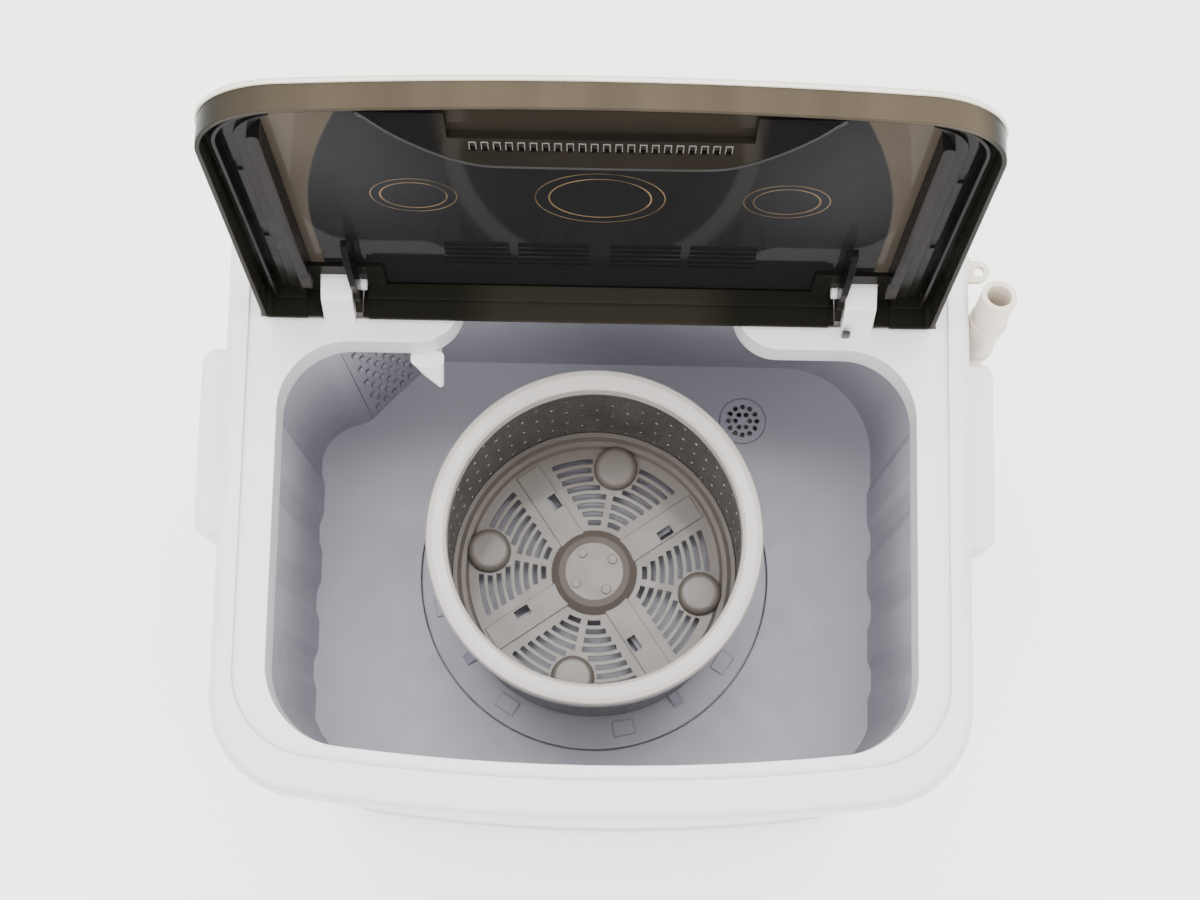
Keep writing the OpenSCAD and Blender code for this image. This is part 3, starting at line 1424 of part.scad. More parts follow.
// Basket floor: slotted fans, domes and arms round a raised hub, inside a stepped ring
module basket_base() {
    color("tan") at_drive(base_z) difference() {
        union() {
            translate([0, 0, -base_t]) cylinder(r = 84, h = base_t);
            rotate_extrude() polygon([[82, -base_t], [base_r, -base_t], [base_r, 8], [base_r - 3, 8],
                                      [88, 3], [85, 3], [83, 0], [82, 0]]);
            rotate_extrude() polygon([[0, -base_t], [hub_r, -base_t], [hub_r, 0], [hub_r - 5, 6],
                                      [19, 7.5], [0, 7.5]]);
            translate([0, 0, -7.5]) cylinder(r = hub_r - 2, h = 7.5 - lap);
            for (i = [0:3]) {
                rotate([0, 0, arm_angle + 90 * i]) {
                    translate([hub_r - 6, -arm_w / 2, -base_t]) cube([83 - hub_r + 4, arm_w, base_t + 1.5]);
                    translate([14.4, 0, 7]) cylinder(r = 3, h = 2, $fn = 32);
                }
                rotate([0, 0, arm_angle + dome_angle + 90 * i]) translate([dome_at, 0, 0]) rotate_extrude()
                    polygon(concat([[0, -1], [dome_r, -1], [dome_r, dome_h - 4]],
                        arc_points([dome_r - 4, dome_h - 4], 4, 20, 90, 4), [[0, dome_h]]));
            }
        }
        translate([0, 0, -20]) cylinder(r = hub_r - 6 + fit, h = 20 + fit);
        translate([0, 0, -20]) cylinder(r = cap_r + fit, h = 23);
        for (i = [0:3]) rotate([0, 0, arm_angle + 90 * i]) {
            translate([49, -arm_w / 2 + 1.5, -5]) cube([10, 6, 20]);
            rotate([0, 0, dome_angle]) translate([dome_at, 0, -5])
                cylinder(r = dome_r - 2.2, h = dome_h + 2.5);
        }
        for (q = [0:3], k = [0:fan_slots - 1]) {
            r = fan_in + k * fan_pitch + fan_slot_w / 2;
            from = asin((arm_w / 2 + fan_off) / r);
            rotate([0, 0, arm_angle + 90 * q + from]) rotate_extrude(angle = dome_angle - from - dome_gap(r))
                translate([r - fan_slot_w / 2, -5]) square([fan_slot_w, 10]);
            rotate([0, 0, arm_angle + 90 * q + dome_angle + dome_gap(r)])
                rotate_extrude(angle = 90 - dome_angle - from - dome_gap(r))
                    translate([r - fan_slot_w / 2, -5]) square([fan_slot_w, 10]);
        }
    }
}

basket_top = rim_z - basket_drop;
wall_low = base_z - 8;

// Basket wall: a sheet metal sleeve with staggered rows of holes
module basket_wall() {
    h = basket_top - 8 - wall_low;
    color("silver") at_drive(wall_low) difference() {
        tube(basket_r, basket_r - sheet_t, h);
        for (i = [0:sheet_cols - 1], j = [0:sheet_rows - 1])
            translate([0, 0, 24 + (h - 46) * j / (sheet_rows - 1)])
                rotate([0, 0, 360 / sheet_cols * (i + 0.5 * (j % 2))]) translate([0, -basket_r + 4, 0])
                    rotate([90, 0, 0]) cylinder(r = sheet_hole_r, h = 8, $fn = 16);
    }
}

// Basket ring: the balancing ring at the top, grooved for the wall
module basket_ring() {
    g0 = basket_r - sheet_t - fit;
    g1 = basket_r + fit;
    color("white") at_drive(basket_top) rotate_extrude() polygon([
        [ring_in, -2], [ring_in + 2, 0], [ring_r - 4, 0], [ring_r - 1, -1.2], [ring_r, -4],
        [ring_r, -ring_h], [g1, -ring_h], [g1, -8 + fit], [g0, -8 + fit], [g0, -ring_h],
        [ring_in + 3, -ring_h], [ring_in, -ring_h + 4]
    ]);
}

feet();
base_plinth();
cabinet_shell();
rear_cover();
rear_cover_screws();
cord_gland();
inner_tub();
overflow_filter();
drain_strainer();
inlet_spout();
inlet_pipe();
top_frame();
hinge_pins();
lid_switch();
handle_left();
handle_right();
control_console();
console_facia();
timer_unit();
selector_unit();
bearing_housing();
upper_bearing();
lower_bearing();
shaft_seal();
motor_plate();
motor_mounts();
motor();
capacitor();
drive_belt();
drain_valve();
drain_pipe();
outlet_elbow();
drain_hose();
hose_cuff();
hose_clip();
hose_hook();
lid_frame();
lid_panel();
lid_bezel();
pulsator();
pulsator_cap();
drive_shaft();
tub_pulley();
pulley_nut();
basket_base();
basket_wall();
basket_ring();
motor_pulley();
motor_shaft();
timer_knob();
timer_spindle();
selector_knob();
selector_spindle();
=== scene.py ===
"""Looks of a mini washing machine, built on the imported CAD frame.

Lengths are in metres. The lid stands open at rest. Pieces on it are drawn in the plane
of its outer face, with y growing towards the hinge and z out of the lid, and LID_FACE
then carries them onto it.
"""
import json
import math

import bmesh
import bpy
from mathutils import Matrix, Vector


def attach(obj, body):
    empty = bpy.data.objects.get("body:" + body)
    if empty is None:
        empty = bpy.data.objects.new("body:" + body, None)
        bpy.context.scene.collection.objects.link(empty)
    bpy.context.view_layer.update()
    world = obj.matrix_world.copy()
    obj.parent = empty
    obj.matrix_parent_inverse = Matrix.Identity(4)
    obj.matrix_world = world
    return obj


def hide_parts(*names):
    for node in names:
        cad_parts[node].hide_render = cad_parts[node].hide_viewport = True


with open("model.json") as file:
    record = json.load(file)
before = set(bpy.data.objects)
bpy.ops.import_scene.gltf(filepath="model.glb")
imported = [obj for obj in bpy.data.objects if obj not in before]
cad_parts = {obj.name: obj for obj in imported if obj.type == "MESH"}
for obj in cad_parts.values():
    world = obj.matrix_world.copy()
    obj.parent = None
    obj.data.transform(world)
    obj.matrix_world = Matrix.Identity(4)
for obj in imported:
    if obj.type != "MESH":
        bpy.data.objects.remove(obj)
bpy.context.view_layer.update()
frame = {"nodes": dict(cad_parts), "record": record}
scene = bpy.context.scene

# Top of the white frame
RIM_Z = 0.548

# Lid: hinge axis, turn from shut to open, and how its outer face lies on the hinge
HINGE_Y, HINGE_Z = 0.1155, 0.564
LID_TURN = math.radians(96)
LID_TILT = math.radians(1.4)
LID_RISE = 0.0058
LID_FACE = (
    Matrix.Translation((0, HINGE_Y, HINGE_Z))
    @ Matrix.Rotation(-LID_TURN, 4, "X")
    @ Matrix.Translation((0, 0, LID_RISE))
    @ Matrix.Rotation(LID_TILT, 4, "X")
)

# Lid outline: corner radius, half width, length from the hinge, radius of the bowed front
LID_R, LID_HALF, LID_FRONT, BOW_R = 0.050, 0.1915, 0.270, 1.239

# Row of slots in the finger scoop: how many, their pitch and half their width
SLOTS, SLOT_PITCH, SLOT_HALF = 22, 0.00575, 0.0013

# Rings printed on the lid: x, distance from the hinge, radius and line width
RINGS = (
    (0.0, 0.128, 0.026, 0.0006),
    (0.0, 0.128, 0.033, 0.0004),
    (0.095, 0.128, 0.017, 0.0006),
    (0.095, 0.128, 0.022, 0.0004),
)

# Console: its slope, the x of each knob, and the figures round the knobs, by angle and text
CONSOLE = Matrix.Translation((0, 0.1555, 0.57566)) @ Matrix.Rotation(math.radians(18), 4, "X")
TIMER_X, SELECTOR_X = 0.088, -0.088
TIMER_FIGURES = ((210, "0"), (180, "3"), (150, "6"), (30, "9"), (0, "12"), (-30, "15"))
SELECTOR_FIGURES = ((150, "1"), (30, "2"))

# Figures: distance from the knob's axis, size, half thickness, and height on the slope
FIGURE_FAR, FIGURE_SIZE, FIGURE_HALF, FIGURE_Z = 0.0222, 0.0056, 0.00006, 0.00168


# ---------- materials ----------
def srgb(r, g, b):
    """Linear colour from 0 to 255 sRGB values."""
    out = []
    for v in (r, g, b):
        v /= 255
        out.append(v / 12.92 if v <= 0.04045 else ((v + 0.055) / 1.055) ** 2.4)
    return tuple(out)


class Finish:
    """A principled material whose nodes are added and linked by short calls."""

    def __init__(self, name, rough, metallic=0.0, coat=0.0, spec=0.5, ior=1.45):
        self.mat = bpy.data.materials.new(name)
        self.mat.use_nodes = True
        self.tree = self.mat.node_tree
        self.bsdf = self.tree.nodes["Principled BSDF"]
        self.set("Roughness", rough)
        self.set("Metallic", metallic)
        self.set("Coat Weight", coat)
        self.set("Coat Roughness", 0.05)
        self.set("Specular IOR Level", spec)
        self.set("IOR", ior)
        self.place = self.node("ShaderNodeTexCoord").outputs["Object"]
        self.axes = None

    def node(self, kind, **values):
        made = self.tree.nodes.new(kind)
        for key, value in values.items():
            setattr(made, key, value)
        return made

    def put(self, socket, value):
        """Links a socket or sets a plain value."""
        if isinstance(value, bpy.types.NodeSocket):
            self.tree.links.new(value, socket)
        else:
            socket.default_value = value

    def set(self, name, value):
        """Links or sets one input of the shader."""
        self.put(self.bsdf.inputs[name], value)

    def math(self, operation, a, b=0.0):
        made = self.node("ShaderNodeMath", operation=operation)
        self.put(made.inputs[0], a)
        self.put(made.inputs[1], b)
        return made.outputs[0]

    def length(self, a, b):
        """Square root of a squared plus b squared."""
        squares = self.math("ADD", self.math("MULTIPLY", a, a), self.math("MULTIPLY", b, b))
        return self.math("SQRT", squares)

    def axis(self, i):
        """Socket for x, y or z in the object's frame."""
        if self.axes is None:
            made = self.node("ShaderNodeSeparateXYZ")
            self.put(made.inputs[0], self.place)
            self.axes = made.outputs
        return self.axes[i]

    def noise(self, scale, detail=3.0, stretch=(1, 1, 1)):
        """Noise from 0 to 1, drawn out along the axes whose stretch is below 1."""
        vector = self.place
        if stretch != (1, 1, 1):
            made = self.node("ShaderNodeVectorMath", operation="MULTIPLY")
            self.put(made.inputs[0], self.place)
            self.put(made.inputs[1], stretch)
            vector = made.outputs[0]
        made = self.node("ShaderNodeTexNoise")
        made.inputs["Scale"].default_value = scale
        made.inputs["Detail"].default_value = detail
        self.put(made.inputs["Vector"], vector)
        return made.outputs["Fac"]

    def step(self, value, low, high):
        """Rises smoothly from 0 at low to 1 at high."""
        made = self.node("ShaderNodeMapRange", interpolation_type="SMOOTHSTEP")
        self.put(made.inputs[0], value)
        made.inputs[1].default_value = low
        made.inputs[2].default_value = high
        return made.outputs[0]

    def span(self, value, low, high):
        """Spreads the middle of a noise, 0.3 to 0.7, between two numbers."""
        made = self.node("ShaderNodeMapRange")
        self.put(made.inputs[0], value)
        for i, number in enumerate((0.3, 0.7, low, high), start=1):
            made.inputs[i].default_value = number
        return made.outputs[0]

    def mix(self, factor, a, b):
        """Colour a where the factor is 0, and colour b where it is 1."""
        made = self.node("ShaderNodeMix", data_type="RGBA")
        self.put(made.inputs[0], factor)
        for socket, colour in ((made.inputs[6], a), (made.inputs[7], b)):
            linked = isinstance(colour, bpy.types.NodeSocket)
            self.put(socket, colour if linked else (*colour, 1))
        return made.outputs[2]

    def cloudy(self, a, b, scale, detail, stretch=(1, 1, 1)):
        """Two colours mixed by a noise."""
        return self.mix(self.span(self.noise(scale, detail, stretch), 0, 1), a, b)

    def surface(self, edge, height, strength, distance):
        """Softened edges, and a bump from a height socket."""
        bevel = self.node("ShaderNodeBevel", samples=4)
        bevel.inputs["Radius"].default_value = edge
        bump = self.node("ShaderNodeBump")
        bump.inputs["Strength"].default_value = strength
        bump.inputs["Distance"].default_value = distance
        self.put(bump.inputs["Height"], height)
        self.put(bump.inputs["Normal"], bevel.outputs[0])
        self.set("Normal", bump.outputs[0])


def moulded(name, colour, rough, edge=0.001, vary=0.05, grain=0.04, grain_scale=900, **more):
    """Moulded plastic, paint or rubber: cloudy colour, uneven gloss and a fine skin."""
    f = Finish(name, rough, **more)
    dark = tuple(c * (1 - vary) for c in colour)
    f.set("Base Color", f.cloudy(dark, colour, 9, 2))
    f.set("Roughness", f.span(f.noise(60, 2), rough - 0.04, rough + 0.05))
    f.surface(edge, f.noise(grain_scale), grain, 0.0004)
    return f.mat


def brushed(name, colour, rough):
    """Turned or drawn metal with fine upright lines."""
    f = Finish(name, rough, metallic=0.95)
    lines = f.noise(1400, 2, (1, 1, 0.05))
    dark = tuple(c * 0.86 for c in colour)
    f.set("Base Color", f.cloudy(dark, colour, 14, 3))
    f.set("Roughness", f.span(lines, rough - 0.05, rough + 0.08))
    f.surface(0.0004, lines, 0.06, 0.0003)
    return f.mat


def spun_steel(name):
    """Stainless sheet: soft wavy bands round the basket and faint upright lines."""
    f = Finish(name, 0.34, metallic=0.95)
    lines = f.noise(1400, 2, (1, 1, 0.03))
    wave = f.node("ShaderNodeTexWave", wave_type="BANDS", bands_direction="Z")
    wave.inputs["Scale"].default_value = 33
    wave.inputs["Distortion"].default_value = 1.6
    wave.inputs["Detail"].default_value = 2.0
    wave.inputs["Detail Scale"].default_value = 1.5
    f.put(wave.inputs["Vector"], f.place)
    patch = f.span(f.noise(40, 2), 0, 1)
    dark = f.mix(patch, srgb(100, 98, 96), srgb(114, 112, 110))
    light = f.mix(patch, srgb(124, 121, 119), srgb(142, 139, 137))
    f.set("Base Color", f.mix(wave.outputs["Fac"], dark, light))
    f.set("Roughness", f.span(lines, 0.30, 0.42))
    f.surface(0.0004, lines, 0.05, 0.0003)
    return f.mat


def lid_plane(f):
    """Sockets for |x| and for the distance from the hinge along the open lid."""
    wide = f.math("ABSOLUTE", f.axis(0))
    along = f.math("DIVIDE", f.math("SUBTRACT", f.axis(2), HINGE_Z), math.sin(LID_TURN))
    return wide, along


def lid_height(f):
    """Socket for the height above the lid's outer face, below 0 inside the lid."""
    c, s = math.cos(LID_TURN), math.sin(LID_TURN)
    y = f.math("SUBTRACT", f.axis(1), HINGE_Y)
    z = f.math("SUBTRACT", f.axis(2), HINGE_Z)
    across = f.math("SUBTRACT", f.math("MULTIPLY", y, c), f.math("MULTIPLY", z, s))
    out = f.math("ADD", f.math("MULTIPLY", y, s), f.math("MULTIPLY", z, c))
    out = f.math("MULTIPLY", f.math("SUBTRACT", out, LID_RISE), math.cos(LID_TILT))
    return f.math("SUBTRACT", out, f.math("MULTIPLY", across, math.sin(LID_TILT)))


def ring(f, wide, along, x, u, radius, width):
    """1 on a thin ring about (x, u) on the lid, or on two where x isn't 0, else 0."""
    far = f.length(f.math("SUBTRACT", wide, x), f.math("SUBTRACT", along, u))
    off = f.math("ABSOLUTE", f.math("SUBTRACT", far, radius))
    return f.math("SUBTRACT", 1.0, f.step(off, width * 0.4, width))


def smoked_panel(name):
    """Glossy smoked panel: a printed dark field inside a clearer brown border."""
    f = Finish(name, 0.035, ior=1.07)
    wide, along = lid_plane(f)

    # The field is widest near the hinge and narrows in a curve beyond the bend
    widest, bend, curve = 0.152, 0.075, 1.15
    over = f.math("MAXIMUM", f.math("SUBTRACT", along, bend), 0.0)
    narrower = f.math("MULTIPLY", f.math("MULTIPLY", over, over), curve)
    edge = f.math("SUBTRACT", widest, narrower)
    field = f.step(f.math("SUBTRACT", edge, wide), -0.0008, 0.0008)
    border = f.cloudy(srgb(60, 54, 47), srgb(72, 65, 57), 7, 2)

    # It turns from near black to grey towards the front corners
    corner = f.math("MULTIPLY", f.step(wide, 0.035, 0.15), f.step(along, 0.03, 0.16))
    grey = f.cloudy(srgb(36, 36, 37), srgb(43, 43, 44), 11, 3)
    base = f.mix(field, border, f.mix(corner, srgb(22, 22, 22), grey))

    # What stands inward of the sheet near the front is the finger scoop, with dark ends; its
    # middle is dark brown with a painted reflection
    inward = f.math("SUBTRACT", 1.0, f.step(lid_height(f), -0.0043, -0.0036))
    tray = f.math("MULTIPLY", inward, f.step(along, 0.150, 0.152))
    # Painted reflection: olive streaks drawn out across the lid stand for the highlights
    # mirrored in the scoop's middle
    scoop = f.cloudy(srgb(25, 23, 20), srgb(36, 32, 26), 18, 2, (0.3, 1, 1))
    scoop = f.mix(f.step(wide, 0.070, 0.080), scoop, srgb(14, 13, 12))
    base = f.mix(tray, base, scoop)

    lines = None
    for spec in RINGS:
        line = ring(f, wide, along, *spec)
        lines = line if lines is None else f.math("MAXIMUM", lines, line)
    worn = f.math("MULTIPLY", lines, f.span(f.noise(45, 2), 0.15, 0.8))
    f.set("Base Color", f.mix(worn, base, srgb(120, 100, 72)))
    f.set("Roughness", f.span(f.noise(30, 3), 0.025, 0.07))
    f.surface(0.0005, f.noise(16, 1), 0.02, 0.002)
    return f.mat


def smoked_frame(name):
    """Smoke-dark frame whose thin outer skirt lets more light through."""
    f = Finish(name, 0.26, ior=1.09)
    wide, along = lid_plane(f)
    x = f.axis(0)

    # How far a point lies beyond the centres of the front corners tells the skirt apart
    bow = f.math("MULTIPLY", f.math("MULTIPLY", x, x), 0.5 / BOW_R)
    bowed = f.math("ADD", along, bow)
    cx = f.math("MAXIMUM", f.math("SUBTRACT", wide, LID_HALF - LID_R), 0.0)
    cu = f.math("MAXIMUM", f.math("SUBTRACT", bowed, LID_FRONT - LID_R), 0.0)
    skirt = f.step(f.length(cx, cu), LID_R - 0.0062, LID_R - 0.0050)

    # The skirt is olive along the front, darker at its left end, and near black at the sides
    olive = f.cloudy(srgb(58, 51, 42), srgb(72, 64, 53), 26, 3, (1, 0.1, 0.1))
    olive = f.mix(f.step(x, -0.185, -0.120), srgb(44, 41, 34), olive)
    thin = f.mix(f.step(cu, 0.030, 0.046), srgb(30, 29, 25), olive)

    # The sill at the hinge is olive in the middle, and the rest is near black
    sill = f.mix(f.step(wide, 0.050, 0.085), srgb(38, 35, 29), srgb(23, 22, 18))
    inner = f.mix(f.step(along, 0.012, 0.034), sill, srgb(19, 18, 17))
    f.set("Base Color", f.mix(skirt, inner, thin))
    f.set("Roughness", f.span(f.noise(70, 2), 0.14, 0.28))
    f.surface(0.0008, f.noise(700), 0.03, 0.0003)
    return f.mat


# Moulded and painted finishes: name, sRGB colour, roughness, and what isn't as usual
MOULDED = (
    ("cabinet_white", (208, 204, 204), 0.28, dict(vary=0.03, grain_scale=300, coat=0.3)),
    ("white_plastic", (210, 205, 205), 0.33, dict(edge=0.0012, vary=0.03)),
    ("cream_plastic", (206, 201, 184), 0.22, dict(vary=0.03)),
    ("tub_blue_grey", (164, 163, 173), 0.40, dict(edge=0.0012, grain=0.06, grain_scale=700)),
    ("basket_grey", (115, 107, 100), 0.36, dict(edge=0.0008, vary=0.14, coat=0.08)),
    ("basket_rim", (168, 162, 157), 0.33, dict(edge=0.0015)),
    ("hose_cream", (212, 201, 186), 0.42, dict(edge=0.0006, vary=0.08)),
    ("black_rubber", (36, 36, 37), 0.7, dict(vary=0.25, grain=0.15)),
    ("black_plastic", (30, 30, 31), 0.38, dict(vary=0.15)),
    ("grey_plastic", (130, 131, 134), 0.45, {}),
    ("scoop_brown", (46, 42, 38), 0.3, dict(edge=0.0003, vary=0.2)),
    ("gloss_black", (26, 24, 22), 0.22, dict(edge=0.0002, vary=0.15, spec=0.3)),
    # Painted highlight: light grey for the rims of the scoop's slots, standing for the light
    # they catch
    ("painted_rim_highlight", (104, 102, 96), 0.2, dict(edge=0.0001, vary=0.25)),
    ("print_grey", (52, 54, 58), 0.5, dict(edge=0.0001, vary=0.1)),
    ("facia_grey", (132, 135, 141), 0.35, dict(edge=0.0004)),
    ("knob_silver", (164, 165, 168), 0.26, dict(edge=0.0006, metallic=0.5)),
    ("cast_aluminium", (190, 191, 194), 0.45,
     dict(vary=0.12, grain=0.25, grain_scale=500, metallic=1.0)),
    ("grey_paint", (140, 143, 146), 0.4, dict(vary=0.08)),
    ("motor_paint", (60, 64, 68), 0.45, dict(vary=0.15, grain=0.1, grain_scale=400)),
)

LOOKS = {name: moulded(name, srgb(*rgb), rough, **more) for name, rgb, rough, more in MOULDED}
LOOKS["basket_steel"] = spun_steel("basket_steel")
LOOKS["smoke_plastic"] = smoked_frame("smoke_plastic")
LOOKS["smoke_gloss"] = smoked_panel("smoke_gloss")
LOOKS["plain_steel"] = brushed("plain_steel", srgb(196, 197, 200), 0.28)
LOOKS["can_aluminium"] = brushed("can_aluminium", srgb(205, 206, 208), 0.24)

for part in frame["record"]["subparts"]:
    for holder in frame["nodes"][part["node"]].material_slots:
        holder.material = LOOKS[part["material_slot"]]


# ---------- small pieces ----------
def piece(name, mesh, looks, body):
    """Adds a mesh that is already in place, with a finish, to a body."""
    obj = bpy.data.objects.new(name, mesh)
    scene.collection.objects.link(obj)
    mesh.materials.clear()
    mesh.materials.append(LOOKS[looks])
    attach(obj, body)
    return obj


def built(name, bm, looks, body):
    """Makes a piece of what was built, and frees it."""
    mesh = bpy.data.meshes.new(name)
    bm.to_mesh(mesh)
    bm.free()
    return piece(name, mesh, looks, body)


def built_on_lid(name, bm, looks):
    """Carries what was built onto the open lid, and makes a piece of it."""
    bmesh.ops.transform(bm, matrix=LID_FACE, verts=bm.verts)
    return built(name, bm, looks, "lid")


def block(bm, *spans):
    """Adds a box, given its two ends along each of x, y and z in any order."""
    made = bmesh.ops.create_cube(bm, size=1)["verts"]
    bmesh.ops.scale(bm, vec=[abs(b - a) for a, b in spans], verts=made)
    bmesh.ops.translate(bm, vec=[(a + b) / 2 for a, b in spans], verts=made)


def soften(bm, radius, segments):
    """Rounds every edge built so far."""
    bmesh.ops.bevel(bm, geom=list(bm.edges), offset=radius, segments=segments, affect="EDGES")


def skin(bm, outlines, smooth_ends):
    """Joins outlines, each a list of as many points, into a closed smooth body."""
    loops = [[bm.verts.new(point) for point in outline] for outline in outlines]
    sides = len(loops[0])
    for one, two in zip(loops, loops[1:]):
        for k in range(sides):
            n = (k + 1) % sides
            bm.faces.new((one[k], one[n], two[n], two[k])).smooth = True
    for end in (loops[0], list(reversed(loops[-1]))):
        bm.faces.new(end).smooth = smooth_ends
    bmesh.ops.recalc_face_normals(bm, faces=bm.faces)


def scoop_backing():
    """Smoked strip behind the scoop's slots: a plate with turned-up edges and cross ribs."""
    half, far, near = 0.066, -0.2195, -0.2045
    under, face, edge_top, rib_top = -0.0089, -0.0084, -0.0074, -0.0078
    edge_wide, rib_half = 0.0008, 0.0003
    bm = bmesh.new()
    block(bm, (-half, half), (far, near), (under, face))
    for y in (far, near - edge_wide):
        block(bm, (-half, half), (y, y + edge_wide), (face, edge_top))
    for i in range(SLOTS + 1):
        x = (i - SLOTS / 2) * SLOT_PITCH
        ys = (far + edge_wide, near - edge_wide)
        block(bm, (x - rib_half, x + rib_half), ys, (face, rib_top))
    built_on_lid("scoop_backing", bm, "scoop_brown")


def scoop_bead():
    """Rounded lip along the scoop's outline, which catches the light along its curve."""
    # One half of the outline, from its tip near the lid's front to the flat middle
    tip, flat, steps = 0.112, 0.052, 6
    start, first, rise, power = -0.249, 0.003, 0.059, 1.7
    half = []
    for i in range(steps + 1):
        t = i / steps
        y = start + (first if i else 0) + rise * (1 - (1 - t) ** power)
        half.append((tip - (tip - flat) * t, y))
    line = half + [(-x, y) for x, y in reversed(half)]

    # Each stretch is cut in four, and the line is then smoothed twice between its ends
    fine = []
    for (x0, y0), (x1, y1) in zip(line, line[1:]):
        fine += [(x0 + (x1 - x0) * t / 4, y0 + (y1 - y0) * t / 4) for t in range(4)]
    fine.append(line[-1])
    for _ in range(2):
        inner = [
            tuple((a[k] + 2 * b[k] + c[k]) / 4 for k in (0, 1))
            for a, b, c in zip(fine, fine[1:], fine[2:])
        ]
        fine = [fine[0], *inner, fine[-1]]

    # A round section stands across the line at each of its points
    radius, sides, z = 0.0010, 8, -0.0108
    outlines = []
    for i, (x, y) in enumerate(fine):
        ax, ay = fine[max(i - 1, 0)]
        bx, by = fine[min(i + 1, len(fine) - 1)]
        far = math.hypot(bx - ax, by - ay)
        nx, ny = (by - ay) / far, -(bx - ax) / far
        outline = []
        for k in range(sides):
            a = 2 * math.pi * k / sides
            out = radius * math.cos(a)
            outline.append((x + nx * out, y + ny * out, z + radius * math.sin(a)))
        outlines.append(outline)
    bm = bmesh.new()
    skin(bm, outlines, smooth_ends=True)
    built_on_lid("scoop_bead", bm, "gloss_black")


def slot_rims():
    """Rounded edges of the scoop's slots, coloured light grey as a painted highlight at the
    head and both sides.
    """
    head, foot, zs = -0.2170, -0.2090, (-0.0114, -0.0109)
    side_wide, head_wide, lap = 0.0005, 0.0007, 0.0001
    bm = bmesh.new()
    for i in range(SLOTS):
        x = (i - (SLOTS - 1) / 2) * SLOT_PITCH
        left, right = x - SLOT_HALF, x + SLOT_HALF
        block(bm, (left - side_wide, right + side_wide), (head - head_wide, head), zs)
        block(bm, (left - side_wide, left), (head - lap, foot), zs)
        block(bm, (right, right + side_wide), (head - lap, foot), zs)
    soften(bm, 0.00012, 1)
    # The rims' light colour is a painted highlight
    built_on_lid("slot_rims", bm, "painted_rim_highlight")


def hinge_shades():
    """Thin dark webs that close the lid frame beside the hinge posts."""
    # Thin flat webs outside and inside each post, and a deeper wall at the rear of both.
    # The inner web leaves a gap to either side of the hinge axis.
    outer, inner = (0.1564, 0.1652), (0.1300, 0.1337)
    front, rear, gap = -0.0130, 0.0140, 0.0048
    wall = (0.0117, rear)
    top, under, deep = -0.0038, -0.0054, -0.0218
    bm = bmesh.new()
    for side in (-1, 1):
        for (x0, x1), ys, zs in (
            (outer, (front, rear), (under, top)),
            (outer, wall, (deep, top)),
            (inner, (front, -gap), (under, top)),
            (inner, (gap, rear), (under, top)),
            (inner, wall, (deep, top)),
        ):
            block(bm, (side * x0, side * x1), ys, zs)
    soften(bm, 0.0003, 2)
    built_on_lid("hinge_shades", bm, "smoke_plastic")


def spout():
    """Soft tongue-shaped inlet spout under the left wing, drawn out towards its tip."""
    steps, sides, power = 12, 28, 0.6

    # Boxes from the root down to the tip: left, right, front, rear and height
    boxes = []
    for i in range(steps + 1):
        t = i / steps
        left = -0.109 + 0.0104 * min(t, 0.5) + 0.0166 * max(t - 0.5, 0) + 0.0016 * t
        right = -0.0895 - 0.0006 * t
        front, rear = 0.0785 - 0.0092 * t, 0.0880 - 0.0098 * t * t
        boxes.append((left, right, front, rear, 0.5177 - 0.0148 * t))

    # Three more close the tip in a curve, and the last stops just short of a point
    x0, x1, y0, y1, z = boxes[-1]
    mx, my = (x0 + x1) / 2, (y0 + y1) / 2
    for k in (1, 2, 3):
        a = math.radians(90 * k / 3.3)
        keep = math.cos(a)
        boxes.append((
            mx + (x0 - mx) * keep, mx + (x1 - mx) * keep,
            my + (y0 - my) * keep, my + (y1 - my) * keep,
            z - 0.0016 * math.sin(a),
        ))

    # Each box gives an outline with rounded corners
    outlines = []
    for x0, x1, y0, y1, z in boxes:
        mx, my, rx, ry = (x0 + x1) / 2, (y0 + y1) / 2, (x1 - x0) / 2, (y1 - y0) / 2
        outline = []
        for k in range(sides):
            a = 2 * math.pi * k / sides
            c, s = (math.copysign(abs(v) ** power, v) for v in (math.cos(a), math.sin(a)))
            outline.append((mx + rx * c, my + ry * s, z))
        outlines.append(outline)
    bm = bmesh.new()
    skin(bm, outlines, smooth_ends=False)
    obj = built("spout", bm, "white_plastic", "machine")
    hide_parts("inlet_spout")


def figures(name, knob_x, marks):
    """Raised figures on the facia, round the knob at knob_x."""
    for i, (turn, text) in enumerate(marks):
        label = f"{name}_{i}"
        curve = bpy.data.curves.new(label, "FONT")
        curve.body = text
        curve.size = FIGURE_SIZE
        curve.align_x = "CENTER"
        curve.align_y = "CENTER"
        curve.extrude = FIGURE_HALF
        curve.resolution_u = 3
        temp = bpy.data.objects.new(label + "_text", curve)
        mesh = bpy.data.meshes.new_from_object(temp)
        bpy.data.objects.remove(temp)
        bpy.data.curves.remove(curve)
        a = math.radians(turn)
        at = (knob_x + FIGURE_FAR * math.cos(a), FIGURE_FAR * math.sin(a), FIGURE_Z)
        mesh.transform(CONSOLE @ Matrix.Translation(at))
        piece(label, mesh, "print_grey", "machine")


spout()
scoop_backing()
scoop_bead()
slot_rims()
hinge_shades()
figures("timer_figure", TIMER_X, TIMER_FIGURES)
figures("selector_figure", SELECTOR_X, SELECTOR_FIGURES)


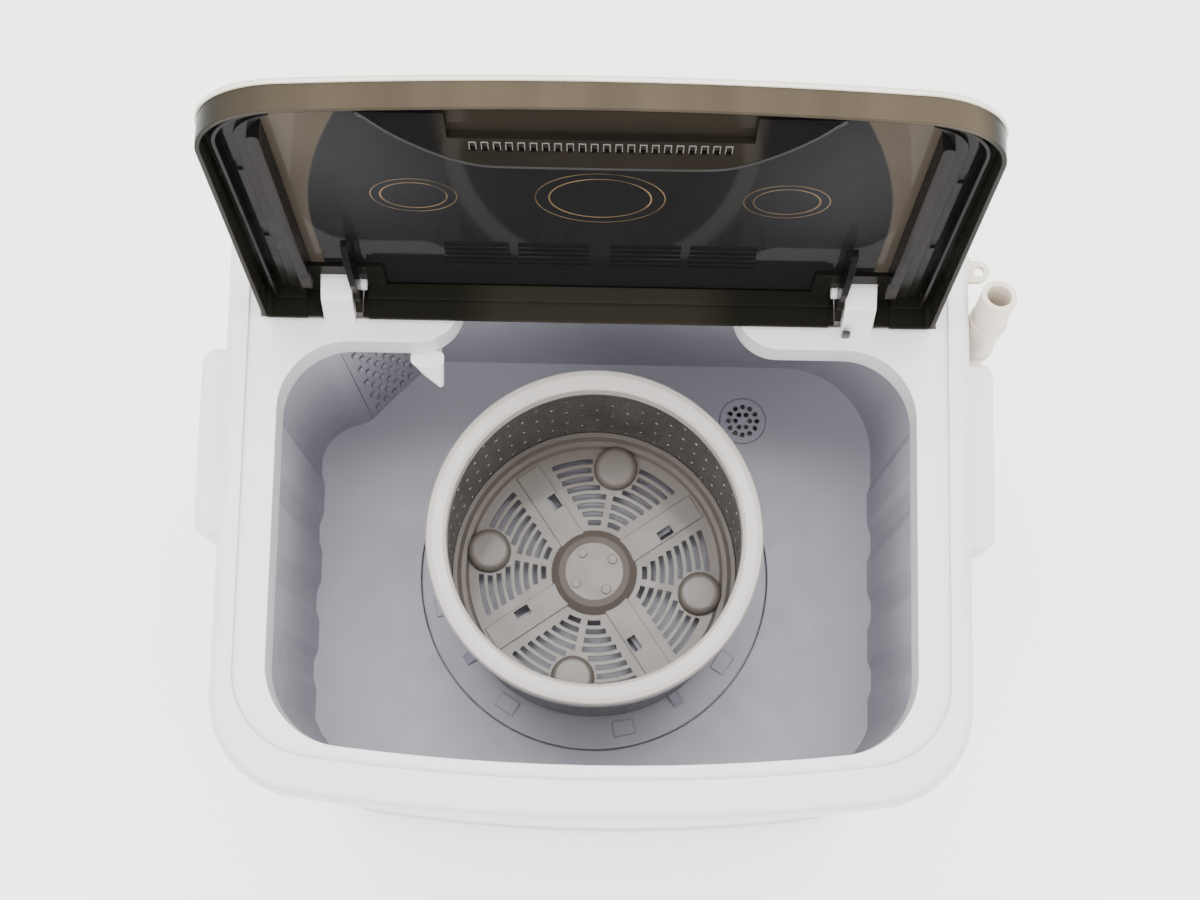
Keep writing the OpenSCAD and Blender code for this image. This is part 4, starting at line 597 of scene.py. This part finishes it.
# ---------- stage and light ----------
def plain_material(name, color, rough):
    mat = bpy.data.materials.new(name)
    mat.use_nodes = True
    bsdf = mat.node_tree.nodes["Principled BSDF"]
    bsdf.inputs["Base Color"].default_value = (*color, 1)
    bsdf.inputs["Roughness"].default_value = rough
    return mat


bpy.ops.mesh.primitive_plane_add(size=14, location=(0, 0, 0))
floor = bpy.context.object
floor.name = "studio_floor"
floor.data.materials.append(plain_material("studio_floor", (0.97, 0.97, 0.97), 0.9))

world = bpy.data.worlds.new("studio") if scene.world is None else scene.world
scene.world = world
world.use_nodes = True
world.node_tree.nodes["Background"].inputs["Color"].default_value = (1, 1, 1, 1)
world.node_tree.nodes["Background"].inputs["Strength"].default_value = 3.2


def softbox(name, at, toward, size, power):
    """A rectangular lamp that faces a point, with its power in watts."""
    light = bpy.data.lights.new(name, "AREA")
    light.shape = "RECTANGLE"
    light.size, light.size_y = size
    light.energy = power
    obj = bpy.data.objects.new(name, light)
    scene.collection.objects.link(obj)
    obj.location = at
    obj.rotation_euler = (Vector(toward) - Vector(at)).to_track_quat("-Z", "Y").to_euler()


softbox("key", (-0.9, -1.6, 2.6), (0, 0, 0.5), (1.6, 1.2), 34)
softbox("fill", (1.6, -0.6, 2.2), (0, 0, 0.5), (1.2, 1.2), 12)
softbox("top", (0.0, 0.5, 2.9), (0, -0.1, 0.4), (1.6, 0.8), 66)

# ---------- camera: fitted to the photograph ----------
EYE = (0.0023, -0.20093, RIM_Z + 1.220)
TILT = math.radians(79.5)
ROLL = math.radians(1.08)
LENS, SENSOR = 66, 36

ahead = Vector((0, math.cos(TILT), -math.sin(TILT)))
over = Vector((0, math.sin(TILT), math.cos(TILT)))
side = Vector((1, 0, 0))
right = math.cos(ROLL) * side + math.sin(ROLL) * over
up = -math.sin(ROLL) * side + math.cos(ROLL) * over
cam_data = bpy.data.cameras.new("camera")
cam_data.sensor_width = SENSOR
cam_data.lens = LENS
cam_data.clip_end = 50
cam = bpy.data.objects.new("camera", cam_data)
scene.collection.objects.link(cam)
turn = Matrix((right, up, -ahead)).transposed().to_4x4()
cam.matrix_world = Matrix.Translation(EYE) @ turn
scene.camera = cam
